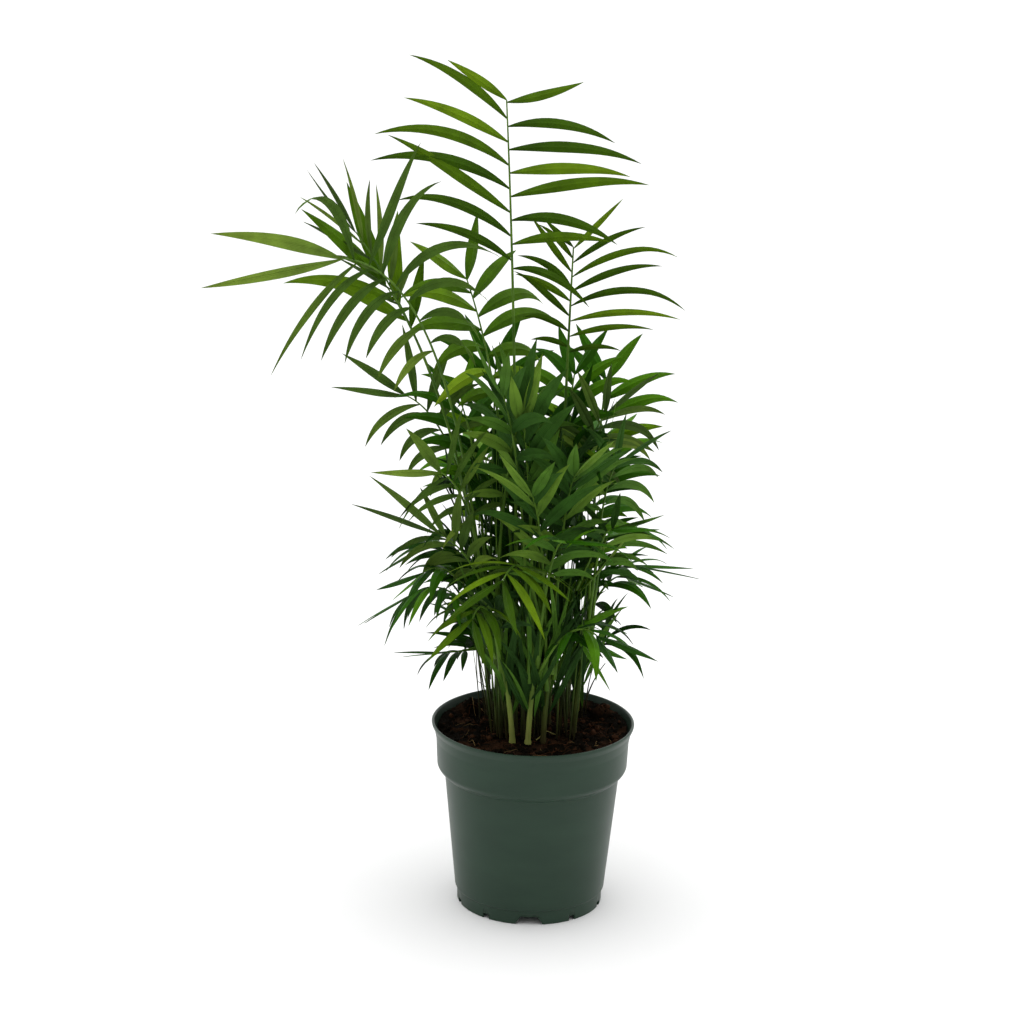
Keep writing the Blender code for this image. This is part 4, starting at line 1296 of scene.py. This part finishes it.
def make_shoots():
    """What grows between the stems and is too thin for solids, in one piece."""
    shape = Shape()
    rng = random.Random(f"shoots {SEED}")
    add_shoots(shape, rng)
    add_long_stalks(shape, rng)
    add_spears(shape, rng)
    finishes = [
        *leaf_pair("shoot_leaf", GREENS[0], 0.5),
        # Both stalk finishes start from a dark foot: painted shade at the base of the clump
        stem_material("shoot_stalk", SHOOT_FOOT_SHADE, SHOOT_GREEN, 75.0 * MM),
        *leaf_pair("spear_leaf", GREENS[2], 0.5),
        stem_material("long_stalk", SHOOT_FOOT_SHADE, STALK_COLOURS, 60.0 * MM),
    ]
    return shape.made("shoots", finishes)


def make_floor():
    bpy.ops.mesh.primitive_plane_add(size=FLOOR_SIZE)
    floor = bpy.context.object
    floor.name = "floor"
    material, tree, shader = new_material("floor", 0.9, 0.0)
    shader.inputs["Base Color"].default_value = (FLOOR_WHITE, FLOOR_WHITE, FLOOR_WHITE, 1.0)
    floor.data.materials.append(material)
    floor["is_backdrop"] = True


def make_key():
    """A soft round light overhead."""
    light = bpy.data.lights.new("overhead", "AREA")
    light.shape = "DISK"
    light.size = KEY_SIZE
    light.energy = KEY_POWER
    obj = new_object("overhead", light)
    obj.location = KEY_PLACE
    aim = Vector(KEY_TARGET) - Vector(KEY_PLACE)
    obj.rotation_euler = aim.to_track_quat("-Z", "Y").to_euler()


def make_world():
    """White all round, dimmer on the viewer's side and brighter above; plain white when seen."""
    world = bpy.data.worlds.new("studio")
    bpy.context.scene.world = world
    world.use_nodes = True
    tree = world.node_tree
    place = tree.nodes.new("ShaderNodeTexCoord").outputs["Generated"]
    parts = parts_of(tree, place)
    strength = tree.nodes.new("ShaderNodeMath")
    strength.operation = "MULTIPLY"
    side = ramped(tree, parts["Y"], FRONT_SIDE, BACK_SIDE, FRONT_LIGHT, BACK_LIGHT)
    tree.links.new(side, strength.inputs[0])
    tree.links.new(ramped(tree, parts["Z"], 0.0, 1.0, 1.0, ZENITH_LIGHT), strength.inputs[1])
    light = tree.nodes["Background"]
    feed(tree, light, {"Color": WHITE, "Strength": strength.outputs["Value"]})
    seen = tree.nodes.new("ShaderNodeBackground")
    feed(tree, seen, {"Color": WHITE})
    ray = tree.nodes.new("ShaderNodeLightPath")
    either = tree.nodes.new("ShaderNodeMixShader")
    tree.links.new(ray.outputs["Is Camera Ray"], either.inputs["Fac"])
    tree.links.new(light.outputs["Background"], either.inputs[1])
    tree.links.new(seen.outputs["Background"], either.inputs[2])
    tree.links.new(either.outputs["Shader"], tree.nodes["World Output"].inputs["Surface"])


def make_camera():
    camera = bpy.data.cameras.new("camera")
    camera.sensor_width = SENSOR
    camera.lens = SENSOR * FOCAL_PIXELS / PHOTO_PIXELS
    obj = new_object("camera", camera)
    tilt = Matrix.Rotation(radians(90.0 - CAMERA_DOWN), 4, "X")
    roll = Matrix.Rotation(radians(CAMERA_ROLL), 4, "Z")
    obj.matrix_world = Matrix.Translation(CAMERA_PLACE) @ tilt @ roll
    bpy.context.scene.camera = obj


def main():
    nodes = frame["nodes"]
    make_camera()
    make_world()
    make_key()
    make_floor()
    pot = make_pot()
    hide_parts("pot")
    soil = make_soil()
    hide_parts("soil")
    crumbs = make_crumbs()
    stems = make_stems()
    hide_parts(*[f"stem_{number + 1:02d}" for number in range(len(STEMS))])
    shoots = make_shoots()
    settled = settle_spines([*LEADING_FRONDS, *filling_fronds()])
    fronds = make_fronds(settled, nodes)
    for piece in (pot, soil, crumbs, stems, shoots, *fronds):
        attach(piece, "root")
    bpy.context.scene.view_settings.view_transform = "Standard"
    sizes = [[list(corner) for corner in box] for box in (cad_box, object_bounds())]


main()
